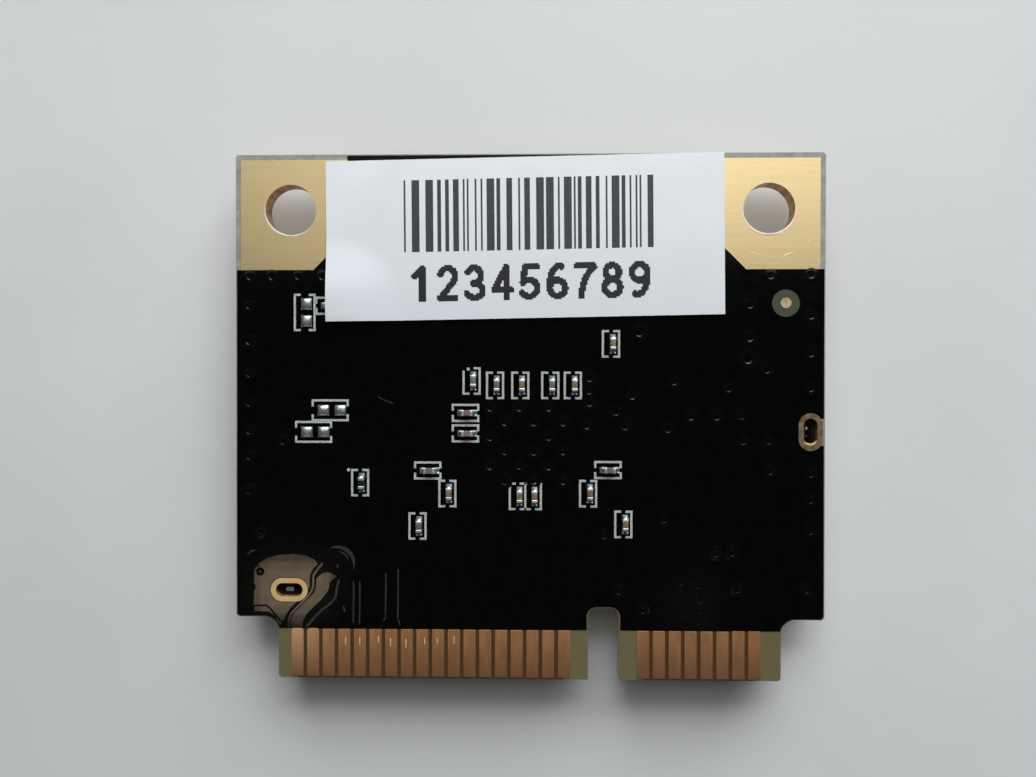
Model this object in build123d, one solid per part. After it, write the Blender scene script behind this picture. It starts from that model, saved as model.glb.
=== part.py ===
from build123d import *
import os

os.makedirs("parts", exist_ok=True)

# A half-length wireless network card for a laptop, lying parts side down on its shield lid.
# The origin is the middle of the board in plan, at the outer face of the lid.
# +Z goes up through the board to its soldered back, +Y to the screw holes, -Y to the edge contacts.
# All sizes are in millimetres.

# Board
laminate_thickness = 0.94
skin_thickness = 0.03
mask_setback = 0.06
board_corner_cut = 0.12

# Connector tongue with its key notch
shoulder_width = 2.175
tongue_depth = 3.1
shoulder_radius = 0.75
notch_width = 1.58
notch_depth = 3.65
notch_radius = 0.45

# Edge contacts
contact_pitch = 0.8
contact_width = 0.6
contact_length = 2.45
contact_end_margin = 0.08
first_contact_margin = 0.97
last_contact_margin = 1.33
left_contact_count = 18
right_contact_count = 8
key_contact_spacing = 4.0

# Screw holes and the plated corners round them
hole_from_side = 2.825
hole_from_top = 2.82
hole_radius = 1.3
plating_wall = 0.05
pad_edge_margin = 0.27
pad_width = 5.45
pad_height = 5.59
pad_chamfer = 1.75

# Oblong plated slots that take the legs of the shield frame
slot_length = 1.38
slot_width = 0.68
slot_land_rim = 0.26
left_slot_from_wall = 2.0
right_slot_rise = 0.19

# Aiming mark for the placing machine
fiducial_from_side = 1.97
fiducial_below_pad = 1.7
fiducial_radius = 0.27
fiducial_window_radius = 0.7

# Small ceramic chips
chip_length = 0.6
chip_width = 0.3
chip_height = 0.3
chip_cap_length = 0.16
chip_cap_proud = 0.012
chip_land_reach = 0.17
chip_land_length = 0.33
solder_gap = 0.02
solder_height = 0.22
land_overhang = 0.2

# Bare lands that the factory only tinned
bare_land_length = 0.59
bare_land_width = 0.55
bare_land_spacing = 0.87
bare_solder_height = 0.13
bare_solder_chamfer = 0.1

# White outline print
print_line = 0.13
print_thickness = 0.01
print_shift = -0.09
print_return = 0.24
chip_outline_length = 1.42
chip_outline_width = 0.96
bare_outline_length = 1.9
bare_outline_width = 1.12

# Paper label
label_hole_gap = 0.75
label_height = 8.08
label_thickness = 0.1
label_turn = 1.09
label_x = -0.2
label_from_top = 0.24
label_clearance = 0.04
tent_slope_run = 1.5

# Shield: a soldered frame and a lid that snaps over it
shield_side_margin = 0.72
shield_pad_gap = 0.46
shield_length = 15.85
shield_bottom_margin = 4.48
frame_sheet = 0.2
frame_bend = 0.6
frame_flange = 1.1
frame_bridge = 1.4
frame_window_radius = 0.8
foot_length = 1.8
foot_pitch = 3.2
foot_gap_height = 0.25
leg_width = 1.0
leg_recess = 0.15
leg_solder_recess = 0.35
shield_land_rim = 0.25
shield_fillet = 0.16
lid_sheet = 0.15
lid_clearance = 0.03
lid_skirt = 0.9
lid_corner_relief = 1.5
lid_finger_pitch = 5.0
lid_slit = 0.35
catch_length = 1.3
catch_width = 0.36
catch_reach = 0.12
catch_height = 0.55
catch_clearance = 0.1
inside_clearance = 0.23

# Packages under the shield, set out from the middle of the can or from its walls
radio_size = 8.0
radio_height = 0.85
radio_x = -0.1
radio_y = -0.65
heat_land_margin = 0.9
terminal_pitch = 0.5
terminal_width = 0.25
terminal_length = 0.45
terminal_corner = 0.75
outer_column = 1.9
inner_column = 5.2
upper_row = 4.3
lower_row = 3.7
front_end_size = 3.0
front_end_height = 0.6
memory_length = 3.0
memory_width = 2.0
memory_height = 0.55
regulator_size = 2.0
regulator_height = 0.5
small_land_margin = 0.4
package_chamfer = 0.08
package_mark_radius = 0.2
package_mark_depth = 0.05
crystal_length = 3.2
crystal_width = 2.5
crystal_base_height = 0.4
crystal_lid_height = 0.3
crystal_lid_inset = 0.2
crystal_corner_land = 0.85
inductor_length = 2.5
inductor_width = 2.0
inductor_height = 1.0
inductor_cap_length = 0.5
filter_length = 1.6
filter_width = 0.8
filter_height = 0.55
filter_cap_length = 0.3
filter_from_wall = 1.7
chip_row_from_wall = 1.0
chip_row_spacing = 3.2
chip_row_gap = 0.75
chip_column_spacing = 2.6

# Coaxial antenna receptacles
antenna_x = 5.5
antenna_from_top = 3.1
antenna_base = 2.6
antenna_base_height = 0.3
antenna_height = 1.25
antenna_shell_radius = 1.0
antenna_shell_wall = 0.14
antenna_lip_depth = 0.06
antenna_lip_height = 0.3
antenna_tab_thickness = 0.12
antenna_tab_width = 1.7
antenna_tab_reach = 1.6
antenna_pin_radius = 0.25
antenna_pin_height = 1.05
antenna_lead_width = 0.5

# Chips on the back: across from the middle, up from the label's lower edge, and whether the chip
# stands along the board
back_chips = {
    "capacitor_back_01": (-2.79, -3.18, True),
    "capacitor_back_02": (-1.6, -3.4, True),
    "capacitor_back_03": (-0.32, -3.4, True),
    "capacitor_back_04": (1.2, -3.4, True),
    "capacitor_back_05": (2.34, -3.4, True),
    "capacitor_back_06": (-3.1, -4.8, False),
    "capacitor_back_07": (-3.1, -5.84, False),
    "capacitor_back_08": (-5.02, -7.73, False),
    "capacitor_back_09": (-4.02, -8.9, True),
    "capacitor_back_10": (-5.54, -10.56, True),
    "capacitor_back_11": (-0.44, -9.03, True),
    "capacitor_back_12": (0.32, -9.03, True),
    "capacitor_back_13": (3.12, -8.88, True),
    "capacitor_back_14": (4.12, -7.68, False),
    "capacitor_back_15": (4.9, -10.43, True),
    "capacitor_back_16": (4.26, -1.3, True),
    "capacitor_back_17": (-10.06, 0.64, False),
    "resistor_back_01": (-8.47, -8.36, True),
}
label_covers = "capacitor_back_17"
shared_outline = ("capacitor_back_11", "capacitor_back_12")

# Bare pairs of lands on the back, placed in the same way
bare_pairs = [(-11.3, 0.3, True), (-10.0, -4.68, False), (-10.85, -5.78, False)]

# Heights of the faces, upward from the lid
crystal_height = crystal_base_height + crystal_lid_height
package_heights = (radio_height, front_end_height, memory_height, regulator_height)
tallest_part = max(*package_heights, crystal_height, inductor_height, filter_height)
flange_face = lid_sheet
flange_inner_face = flange_face + frame_sheet
front_face = flange_inner_face + inside_clearance + tallest_part + solder_gap
laminate_front = front_face + skin_thickness
laminate_back = laminate_front + laminate_thickness
back_face = laminate_back + skin_thickness
print_face = back_face + print_thickness
skirt_end = lid_sheet + lid_skirt

# Plan: the contacts set the width, and the plated corners, shield and tongue set the length
left_group = (left_contact_count - 1) * contact_pitch
right_group = (right_contact_count - 1) * contact_pitch
contact_span = left_group + key_contact_spacing + right_group
tongue_width = first_contact_margin + contact_span + last_contact_margin
board_width = tongue_width + 2 * shoulder_width
pad_zone = pad_edge_margin + pad_height
board_length = pad_zone + shield_pad_gap + shield_length + shield_bottom_margin
side_x = board_width / 2
top_y = board_length / 2
bottom_y = -board_length / 2
shoulder_y = bottom_y + tongue_depth
mask_end_y = bottom_y + contact_end_margin + contact_length
hole_x = side_x - hole_from_side
hole_y = top_y - hole_from_top
first_contact_x = first_contact_margin - tongue_width / 2
left_group_end_x = first_contact_x + left_group
notch_x = left_group_end_x + key_contact_spacing / 2
wall_x = side_x - shield_side_margin
wall_top_y = top_y - pad_zone - shield_pad_gap
wall_bottom_y = bottom_y + shield_bottom_margin
can_y = (wall_top_y + wall_bottom_y) / 2
can_width = 2 * wall_x + frame_sheet
can_length = shield_length + frame_sheet
antenna_y = top_y - antenna_from_top
fiducial_x = side_x - fiducial_from_side
fiducial_y = top_y - pad_zone - fiducial_below_pad
label_width = 2 * (hole_x - hole_radius - label_hole_gap)
label_y = top_y - label_from_top - label_height / 2
label_low_y = top_y - label_from_top - label_height
chip_land_centre = chip_land_reach + chip_land_length / 2

# Places of the parts under the shield
radio_place = (radio_x, can_y + radio_y)
left_front_end_place = (inner_column - wall_x, wall_top_y - upper_row)
right_front_end_place = (wall_x - inner_column, wall_top_y - upper_row)
filter_places = [(side * (wall_x - inner_column), wall_top_y - filter_from_wall) for side in (-1, 1)]
memory_place = (outer_column - wall_x, wall_top_y - upper_row)
crystal_place = (inner_column - wall_x, wall_bottom_y + lower_row)
inductor_place = (wall_x - inner_column, wall_bottom_y + lower_row)
regulator_place = (wall_x - outer_column, wall_bottom_y + lower_row)
row_steps = (-chip_row_spacing / 2, chip_row_spacing / 2)
column_steps = (-chip_column_spacing / 2, chip_column_spacing / 2)
column_x = radio_size / 2 + chip_row_gap
front_capacitors = [
    (radio_place[0] + side * column_x, radio_place[1] + step, True)
    for side in (-1, 1) for step in column_steps
]
front_capacitors += [(step, wall_bottom_y + chip_row_from_wall, False) for step in row_steps]
front_capacitors += [
    (side * (wall_x - outer_column), wall_bottom_y + chip_row_from_wall, False) for side in (-1, 1)
]
front_resistors = [(step, wall_top_y - chip_row_from_wall, False) for step in row_steps]
front_resistors.append((wall_x - outer_column, wall_top_y - upper_row, True))
front_resistors.append((outer_column - wall_x, wall_bottom_y + lower_row, True))


def slab(x_low, x_high, y_low, y_high, z_low, z_high):
    """Plain block between its limits."""
    centre = Pos((x_low + x_high) / 2, (y_low + y_high) / 2, (z_low + z_high) / 2)
    return centre * Box(x_high - x_low, y_high - y_low, z_high - z_low)


def layer(face, z_low, z_high):
    """Flat shape given a thickness between two heights."""
    return Pos(0, 0, z_low) * extrude(face, amount=z_high - z_low, dir=(0, 0, 1))


def corner(face, x, y):
    """Corner of a flat shape that lies nearest to a point."""
    return face.vertices().sort_by_distance((x, y, 0))[0]


def on_back(shape, x, y, turn=0):
    """Shape built upward from zero, set on the soldered back."""
    return Pos(x, y, back_face) * Rot(0, 0, turn) * shape


def on_front(shape, x, y, turn=0):
    """Shape built upward from zero, hung from the parts side."""
    return Pos(x, y, front_face) * Rot(180, 0, 0) * Rot(0, 0, turn) * shape


def back_place(x, y, upright):
    """Place on the back, counted from the label's lower edge, with the turn of what stands there."""
    return x, label_low_y + y, 90 if upright else 0


def save(shape, node):
    """Write one piece, or one group of like pieces, as a STEP file."""
    export_step(shape, f"parts/{node}.step")


def save_group(shapes, node):
    """Write a group of separate solids as one STEP file."""
    solids = [solid for shape in shapes for solid in shape.solids()]
    save(Compound(children=solids), node)


# Board outline, and the same outline drawn in by a setback for the mask


def board_outline(inset=0.0):
    """Card outline with its tongue, rounded shoulders and key notch."""
    body_top = top_y - inset
    body_bottom = shoulder_y + inset
    half_width = side_x - inset
    half_tongue = tongue_width / 2 - inset
    tongue_bottom = bottom_y + inset
    body = Pos(0, (body_top + body_bottom) / 2) * Rectangle(2 * half_width, body_top - body_bottom)
    tongue = Pos(0, (body_bottom + tongue_bottom) / 2)
    tongue *= Rectangle(2 * half_tongue, body_bottom - tongue_bottom)
    outline = body + tongue
    hollow = min(shoulder_radius, 0.8 * shoulder_width, 0.8 * tongue_depth)
    for side in (-1, 1):
        outline = fillet(corner(outline, side * half_tongue, body_bottom), hollow + inset)
        for x, y in ((half_width, body_top), (half_width, body_bottom), (half_tongue, tongue_bottom)):
            outline = chamfer(corner(outline, side * x, y), board_corner_cut)
    return outline - notch_shape(inset)


def notch_shape(inset):
    """Key notch, open at the connector edge and rounded at its closed end."""
    width = notch_width + 2 * inset
    closed_y = bottom_y + notch_depth + inset
    open_y = bottom_y - notch_depth
    notch = Pos(notch_x, (closed_y + open_y) / 2) * Rectangle(width, closed_y - open_y)
    for side in (-1, 1):
        notch = fillet(corner(notch, notch_x + side * width / 2, closed_y), notch_radius + inset)
    return notch


def corner_pad(side):
    """Plated corner seen in plan, with its lower inner corner cut off."""
    outer = side_x - pad_edge_margin
    inner = outer - pad_width
    high = top_y - pad_edge_margin
    low = high - pad_height
    corners = [(outer, high), (inner, high), (inner, low + pad_chamfer), (inner + pad_chamfer, low)]
    corners.append((outer, low))
    return make_face(Polyline([(side * x, y) for x, y in corners], close=True))


def corner_window(side):
    """Opening in the mask over a plated corner, which runs out over the board's edge."""
    pad = corner_pad(side)
    outer = side_x - pad_edge_margin
    high = top_y - pad_edge_margin
    low = high - pad_height
    beside = Pos(side * (outer + pad_edge_margin), (high + low) / 2 + pad_edge_margin)
    beside *= Rectangle(2 * pad_edge_margin, pad_height + 2 * pad_edge_margin)
    above = Pos(side * (outer - pad_width / 2), high + pad_edge_margin)
    above *= Rectangle(pad_width, 2 * pad_edge_margin)
    return pad + beside + above


def slot_places():
    """Centre and turn of each oblong slot, which lies along the wall that its leg belongs to."""
    return [(left_slot_from_wall - wall_x, wall_bottom_y, 0), (wall_x, can_y + right_slot_rise, 90)]


def slot_shape(place, growth):
    """Oblong slot in plan, grown all round."""
    x, y, turn = place
    return Pos(x, y) * Rot(0, 0, turn) * SlotOverall(slot_length + 2 * growth, slot_width + 2 * growth)


def land_pair(x, y, turn, length, width, centre):
    """Two like lands in plan, each side of a place."""
    land = Rectangle(length, width)
    return [Pos(x, y) * Rot(0, 0, turn) * Pos(side * centre, 0) * land for side in (-1, 1)]


def chip_lands(x, y, turn):
    """The two lands of a small chip."""
    return land_pair(x, y, turn, chip_land_length, chip_width, chip_land_centre)


def bare_lands(x, y, turn):
    """The two tinned lands of a place without a part."""
    return land_pair(x, y, turn, bare_land_length, bare_land_width, bare_land_spacing / 2)


def chip_window(x, y, turn):
    """Opening in the mask over both lands of a small chip."""
    length = 2 * (chip_land_reach + chip_land_length)
    return Pos(x, y) * Rot(0, 0, turn) * Rectangle(length, chip_width)


def block_window(place, length, width):
    """Opening in the mask over both lands of a larger part."""
    return Pos(*place) * Rectangle(length + 2 * land_overhang, width)


def block_lands(place, length, width, cap_length):
    """The two end lands of a larger part."""
    land_length = cap_length + land_overhang
    centre = length / 2 - cap_length + land_length / 2
    return land_pair(*place, 0, land_length, width, centre)


radio_terminals = int((radio_size - 2 * terminal_corner) / terminal_pitch) + 1
radio_rows = [
    Pos(*radio_place) * Rot(0, 0, turn) * Pos(0, (radio_size - terminal_length) / 2)
    for turn in (0, 90, 180, 270)
]


def terminal_lands():
    """Lands under the terminals on all four sides of the radio chip."""
    land = Rectangle(terminal_width, terminal_length)
    offsets = [(i - (radio_terminals - 1) / 2) * terminal_pitch for i in range(radio_terminals)]
    return [row * Pos(along, 0) * land for row in radio_rows for along in offsets]


def terminal_windows():
    """One opening in the mask over each row of terminals."""
    length = (radio_terminals - 1) * terminal_pitch + terminal_width
    return [row * Rectangle(length, terminal_length) for row in radio_rows]


# Lands on the parts side


def middle_lands():
    """Lands under the middle of the packages, which carry their heat into the board."""
    packages = [(radio_place, radio_size, radio_size, heat_land_margin)]
    for place in (left_front_end_place, right_front_end_place):
        packages.append((place, front_end_size, front_end_size, small_land_margin))
    packages.append((memory_place, memory_width, memory_length, small_land_margin))
    packages.append((regulator_place, regulator_size, regulator_size, small_land_margin))
    return [
        Pos(*place) * Rectangle(size_x - 2 * margin, size_y - 2 * margin)
        for place, size_x, size_y, margin in packages
    ]


def crystal_lands():
    """Four corner lands of the crystal."""
    x, y = crystal_place
    reach_x = (crystal_length - crystal_corner_land) / 2
    reach_y = (crystal_width - crystal_corner_land) / 2
    return [
        Pos(x + i * reach_x, y + j * reach_y) * Rectangle(crystal_corner_land, crystal_corner_land)
        for i in (-1, 1) for j in (-1, 1)
    ]


def antenna_lands(side):
    """Two ground lands and one signal land of an antenna receptacle."""
    inner = antenna_shell_radius - antenna_shell_wall
    tab = antenna_tab_reach - inner
    x = side * antenna_x
    ground = [
        Pos(x + i * (inner + tab / 2), antenna_y) * Rectangle(tab, antenna_tab_width) for i in (-1, 1)
    ]
    lead = antenna_tab_reach - antenna_base / 2
    signal = Pos(x, antenna_y - antenna_base / 2 - lead / 2) * Rectangle(antenna_lead_width, lead)
    return ground + [signal]


def shield_ring():
    """Ground land that the feet of the shield frame stand on."""
    wide = can_width + 2 * shield_land_rim
    long = can_length + 2 * shield_land_rim
    inner_wide = can_width - 2 * frame_sheet - 2 * shield_land_rim
    inner_long = can_length - 2 * frame_sheet - 2 * shield_land_rim
    ring = Pos(0, can_y) * (Rectangle(wide, long) - Rectangle(inner_wide, inner_long))
    for place in slot_places():
        ring += slot_shape(place, slot_land_rim)
    return ring


def ring_land():
    """The same land with the slots cut through it."""
    return shield_ring() - [slot_shape(place, plating_wall) for place in slot_places()]


front_chip_places = [(x, y, 90 if upright else 0) for x, y, upright in front_capacitors + front_resistors]
back_chip_places = [back_place(*place) for place in back_chips.values()]
fillet_lands = [land for place in front_chip_places for land in chip_lands(*place)]
fillet_lands += block_lands(inductor_place, inductor_length, inductor_width, inductor_cap_length)
fillet_windows = [chip_window(*place) for place in front_chip_places]
fillet_windows.append(block_window(inductor_place, inductor_length, inductor_width))
for place in filter_places:
    fillet_lands += block_lands(place, filter_length, filter_width, filter_cap_length)
    fillet_windows.append(block_window(place, filter_length, filter_width))
single_lands = middle_lands() + crystal_lands() + antenna_lands(-1) + antenna_lands(1)
flat_lands = single_lands + terminal_lands()
flat_windows = single_lands + terminal_windows()
back_chip_lands = [land for place in back_chip_places for land in chip_lands(*place)]
back_bare_lands = [land for place in bare_pairs for land in bare_lands(*back_place(*place))]

# Laminate with its drilled holes and slots

hole_drill = hole_radius + plating_wall
laminate_face = board_outline()
for side in (-1, 1):
    laminate_face -= Pos(side * hole_x, hole_y) * Circle(hole_drill)
for place in slot_places():
    laminate_face -= slot_shape(place, plating_wall)
save(layer(laminate_face, laminate_front, laminate_back), "board_laminate")

# Solder mask on both faces, open over every land and clear of the connector tongue

mask_face = board_outline(mask_setback)
mask_face &= Pos(0, mask_end_y + board_length) * Rectangle(2 * board_width, 2 * board_length)
for side in (-1, 1):
    mask_face -= corner_window(side)
edge_strip = Pos(side_x, can_y + right_slot_rise) * Rectangle(2 * shield_side_margin, slot_length)
mask_face -= edge_strip
back_mask_face = mask_face - [chip_window(*place) for place in back_chip_places] - back_bare_lands
back_mask_face -= [slot_shape(place, slot_land_rim) for place in slot_places()]
back_mask_face -= Pos(fiducial_x, fiducial_y) * Circle(fiducial_window_radius)
save(layer(back_mask_face, laminate_back, back_face), "solder_mask_back")
front_mask_face = mask_face - fillet_windows - flat_windows - shield_ring()
save(layer(front_mask_face, front_face, laminate_front), "solder_mask_front")

# Plated corners, slots and contacts


def through_plating(land, drilled, bore):
    """Land on the back of the laminate and the plated wall of its hole, down to the parts side."""
    wall = layer(drilled - bore, front_face, laminate_back)
    return wall + layer(land - bore, laminate_back, back_face)


for side, name in ((-1, "left"), (1, "right")):
    hole = Pos(side * hole_x, hole_y)
    bore = hole * Circle(hole_radius)
    plating = through_plating(corner_pad(side), hole * Circle(hole_drill), bore)
    plating += layer(corner_pad(side) - bore, front_face, laminate_front)
    save(plating, f"{name}_corner_plating")

for place, name in zip(slot_places(), ("left", "right")):
    land = slot_shape(place, slot_land_rim)
    plating = through_plating(land, slot_shape(place, plating_wall), slot_shape(place, 0))
    save(plating, f"{name}_slot_plating")


def contact_row(z_low, z_high):
    """The two groups of edge contacts on one face of the tongue."""
    low = bottom_y + contact_end_margin
    places = [first_contact_x + i * contact_pitch for i in range(left_contact_count)]
    right_group_x = left_group_end_x + key_contact_spacing
    places += [right_group_x + i * contact_pitch for i in range(right_contact_count)]
    half = contact_width / 2
    return [slab(x - half, x + half, low, low + contact_length, z_low, z_high) for x in places]


save_group(contact_row(laminate_back, back_face), "edge_contacts_back")
save_group(contact_row(front_face, laminate_front), "edge_contacts_front")
fiducial = Pos(fiducial_x, fiducial_y) * Circle(fiducial_radius)
save(layer(fiducial, laminate_back, back_face), "fiducial_target")
save_group([layer(land, laminate_back, back_face) for land in back_chip_lands], "part_lands_back")
save_group([layer(land, laminate_back, back_face) for land in back_bare_lands], "bare_lands_back")
save_group([layer(land, front_face, laminate_front) for land in fillet_lands], "part_lands_front")
flat_joints = [layer(land, front_face - solder_gap, laminate_front) for land in flat_lands]
save_group(flat_joints, "tinned_lands_front")
save(layer(ring_land(), front_face, laminate_front), "shield_ground_land")

# Small chips and their solder


def end_capped_block(length, width, height, cap_length):
    """Block between two slightly proud metal end caps, standing on zero."""
    inner_width = width - 2 * chip_cap_proud
    inner_height = height - 2 * chip_cap_proud
    block = Pos(0, 0, height / 2) * Box(length - cap_length, inner_width, inner_height)
    for side in (-1, 1):
        cap = Box(cap_length, width, height)
        block += Pos(side * (length - cap_length) / 2, 0, height / 2) * cap
    return block


def end_fillets(length, width, land_inner, land_outer, climb):
    """Solder under and against both ends of a part, from its lands up to its end caps."""
    end = length / 2
    hollow = ((2 * end + land_outer) / 3, climb / 3)
    slope = [(land_outer, 0), hollow, (end, climb)]
    under = [(end, solder_gap), (land_inner, solder_gap), (land_inner, 0)]
    profile = Plane.XZ * make_face(Polyline(*slope, *under, close=True))
    right = extrude(profile, amount=width / 2, both=True)
    return [right, Rot(0, 0, 180) * right]


def chip_solder():
    """Solder of one small chip."""
    land_outer = chip_land_reach + chip_land_length
    return end_fillets(chip_length, chip_width, chip_land_reach, land_outer, solder_height)


def block_solder(length, width, height, cap_length):
    """Solder of one larger end-capped part."""
    climb = height * solder_height / chip_height
    return end_fillets(length, width, length / 2 - cap_length, length / 2 + land_overhang, climb)


chip = Pos(0, 0, solder_gap) * end_capped_block(chip_length, chip_width, chip_height, chip_cap_length)
back_solder = []
for name, place in back_chips.items():
    save(on_back(chip, *back_place(*place)), name)
    back_solder += [on_back(joint, *back_place(*place)) for joint in chip_solder()]
save_group(back_solder, "solder_joints_back")


def tinned_land():
    """Cushion of solder that is left on a bare land."""
    cushion = Pos(0, 0, bare_solder_height / 2) * Box(bare_land_length, bare_land_width, bare_solder_height)
    return chamfer(cushion.faces().sort_by(Axis.Z)[-1].edges(), bare_solder_chamfer)


cushions = []
for place in bare_pairs:
    for side in (-1, 1):
        cushion = Pos(side * bare_land_spacing / 2, 0) * tinned_land()
        cushions.append(on_back(cushion, *back_place(*place)))
save_group(cushions, "bare_land_solder")

# Outline print: a pair of brackets round each place


def bracket_pair(length, width):
    """Two C-shaped brackets that face each other across a part lying along X."""
    outer = Rectangle(length, width)
    inner = Rectangle(length - 2 * print_line, width - 2 * print_line)
    gap = Rectangle(2 * length, width - 2 * print_return)
    return outer - inner - gap


outline_sizes = []
for name, place in back_chips.items():
    if name not in shared_outline:
        outline_sizes.append((chip_outline_length, chip_outline_width, place))
for place in bare_pairs:
    outline_sizes.append((bare_outline_length, bare_outline_width, place))
outline_faces = []
for length, width, place in outline_sizes:
    x, y, turn = back_place(*place)
    outline_faces.append(Pos(x + print_shift, y) * Rot(0, 0, turn) * bracket_pair(length, width))
left_chip, right_chip = (back_chips[name] for name in shared_outline)
shared_x = (left_chip[0] + right_chip[0]) / 2 + print_shift
shared_width = right_chip[0] - left_chip[0] + chip_outline_width
shared = Rot(0, 0, 90) * bracket_pair(chip_outline_length, shared_width)
divider = Rectangle(print_line, chip_outline_length)
for side in (-1, 1):
    serif = Pos(0, side * (chip_outline_length - print_line) / 2)
    divider += serif * Rectangle(2 * print_return, print_line)
outline_faces.append(Pos(shared_x, label_low_y + left_chip[1]) * (shared + divider))
outline_print = Sketch() + outline_faces
save(layer(outline_print, back_face, print_face), "outline_print")

# Paper label, tented over the chip that it covers


def label_face():
    """Label in plan, stuck on slightly askew."""
    return Pos(label_x, label_y) * Rot(0, 0, label_turn) * Rectangle(label_width, label_height)


def tent(rise, drop):
    """Hump of the paper over the covered chip, lowered by the paper's thickness for its underside."""
    x, y, _ = back_place(*back_chips[label_covers])
    half_x = chip_land_reach + chip_land_length
    half_y = chip_width
    low = print_face - drop
    base = Pos(x, y, low) * Rectangle(2 * (half_x + tent_slope_run), 2 * (half_y + tent_slope_run))
    crest = Pos(x, y, low + rise) * Rectangle(2 * half_x, 2 * half_y)
    return loft([base.face(), crest.face()])


tent_rise = solder_gap + chip_height - print_thickness + label_clearance + label_thickness
paper = layer(label_face(), print_face, print_face + label_thickness)
paper += tent(tent_rise, 0) & layer(label_face(), print_face, print_face + tent_rise)
paper -= tent(tent_rise, label_thickness)
save(paper, "paper_label")

# Shield frame: walls on feet, an inward flange with a bridge, and two legs through the board


def steps(length, pitch):
    """Evenly spaced offsets from the middle of a wall."""
    count = int(length / pitch)
    return [(i - (count - 1) / 2) * pitch for i in range(count)]


def foot_gaps():
    """Gaps between the feet, along all four walls."""
    gap = foot_pitch - foot_length
    low = front_face - foot_gap_height
    high = front_face + foot_gap_height
    gaps = []
    for x in steps(can_width - 2 * frame_bend - gap, foot_pitch):
        for y in (wall_bottom_y, wall_top_y):
            gaps.append(slab(x - gap / 2, x + gap / 2, y - frame_sheet, y + frame_sheet, low, high))
    for step in steps(can_length - 2 * frame_bend - gap, foot_pitch):
        y = can_y + step
        for x in (-wall_x, wall_x):
            gaps.append(slab(x - frame_sheet, x + frame_sheet, y - gap / 2, y + gap / 2, low, high))
    return gaps


def finger_places():
    """Middle of each spring finger of the lid: place, turn of the wall that it springs over."""
    places = []
    for x in steps(can_width - 2 * lid_corner_relief, lid_finger_pitch):
        places.append((x, wall_bottom_y, -90))
        places.append((x, wall_top_y, 90))
    for step in steps(can_length - 2 * lid_corner_relief, lid_finger_pitch):
        places.append((-wall_x, can_y + step, 180))
        places.append((wall_x, can_y + step, 0))
    return places


def shield_frame():
    """Folded sheet frame of the shield."""
    outer = Pos(0, can_y) * RectangleRounded(can_width, can_length, frame_bend)
    inner_width = can_width - 2 * frame_sheet
    inner_length = can_length - 2 * frame_sheet
    inner = Pos(0, can_y) * RectangleRounded(inner_width, inner_length, frame_bend - frame_sheet)
    flange = outer
    window_width = (can_width - 2 * frame_flange - frame_bridge) / 2
    window_length = can_length - 2 * frame_flange
    for side in (-1, 1):
        window = RectangleRounded(window_width, window_length, frame_window_radius)
        flange -= Pos(side * (window_width + frame_bridge) / 2, can_y) * window
    frame = layer(outer - inner, flange_face, front_face) + layer(flange, flange_face, flange_inner_face)
    frame -= foot_gaps()
    for x, y, turn in finger_places():
        hole_length = catch_length + 2 * catch_clearance
        hole = Box(4 * frame_sheet, hole_length, catch_width + 2 * catch_clearance)
        frame -= Pos(x, y, lid_sheet + catch_height) * Rot(0, 0, turn) * hole
    leg_end = back_face - leg_recess
    for x, y, turn in slot_places():
        leg_height = leg_end - front_face + foot_gap_height
        leg = Pos(0, 0, leg_end - leg_height / 2) * Box(leg_width, frame_sheet, leg_height)
        frame += Pos(x, y) * Rot(0, 0, turn) * leg
    return frame


def shield_lid():
    """Snap-on lid with a skirt of spring fingers, each with an inward pressed rib."""
    inner_width = can_width + 2 * lid_clearance
    inner_length = can_length + 2 * lid_clearance
    width = inner_width + 2 * lid_sheet
    length = inner_length + 2 * lid_sheet
    inner_bend = frame_bend + lid_clearance
    outer = Pos(0, can_y) * RectangleRounded(width, length, inner_bend + lid_sheet)
    inner = Pos(0, can_y) * RectangleRounded(inner_width, inner_length, inner_bend)
    skirt = layer(outer - inner, lid_sheet, skirt_end)
    relief = lid_corner_relief
    for i in (-1, 1):
        for j in (-1, 1):
            cut = Pos(i * width / 2, can_y + j * length / 2, skirt_end)
            skirt -= cut * Box(2 * relief, 2 * relief, 2 * (skirt_end - lid_sheet))
    for x, y, turn in finger_places():
        for side in (-1, 1):
            slit = Box(6 * lid_sheet, lid_slit, 2 * (lid_skirt - lid_slit))
            beside = Pos(0, side * lid_finger_pitch / 2, skirt_end)
            skirt -= Pos(x, y) * Rot(0, 0, turn) * beside * slit
    lid = layer(outer, 0, lid_sheet) + skirt
    rib = catch_rib()
    skirt_face = frame_sheet / 2 + lid_clearance
    for x, y, turn in finger_places():
        lid += Pos(x, y) * Rot(0, 0, turn) * Pos(skirt_face, 0, lid_sheet + catch_height) * rib
    return lid


def catch_rib():
    """Oblong rib with sloping sides, standing inward from zero."""
    foot = Rectangle(catch_width, catch_length)
    crest = Rectangle(catch_width - catch_reach, catch_length - 2 * catch_reach)
    rib = loft([foot.face(), (Pos(0, 0, catch_reach) * crest).face()])
    return Rot(0, -90, 0) * rib


def foot_fillets():
    """Solder along the outside of each foot between two gaps."""
    profile = Polyline((0, 0), (shield_fillet, 0), (0, shield_fillet), close=True)
    wedge = extrude(Plane.XZ * make_face(profile), amount=foot_length / 2, both=True)
    gap = foot_pitch - foot_length
    face = frame_sheet / 2
    fillets = []
    for x in steps(can_width - 2 * frame_bend - gap - foot_pitch, foot_pitch):
        fillets.append(on_front(wedge, x, wall_top_y + face, -90))
        fillets.append(on_front(wedge, x, wall_bottom_y - face, 90))
    for step in steps(can_length - 2 * frame_bend - gap - foot_pitch, foot_pitch):
        fillets.append(on_front(wedge, -wall_x - face, can_y + step, 180))
        fillets.append(on_front(wedge, wall_x + face, can_y + step, 0))
    return fillets


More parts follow.
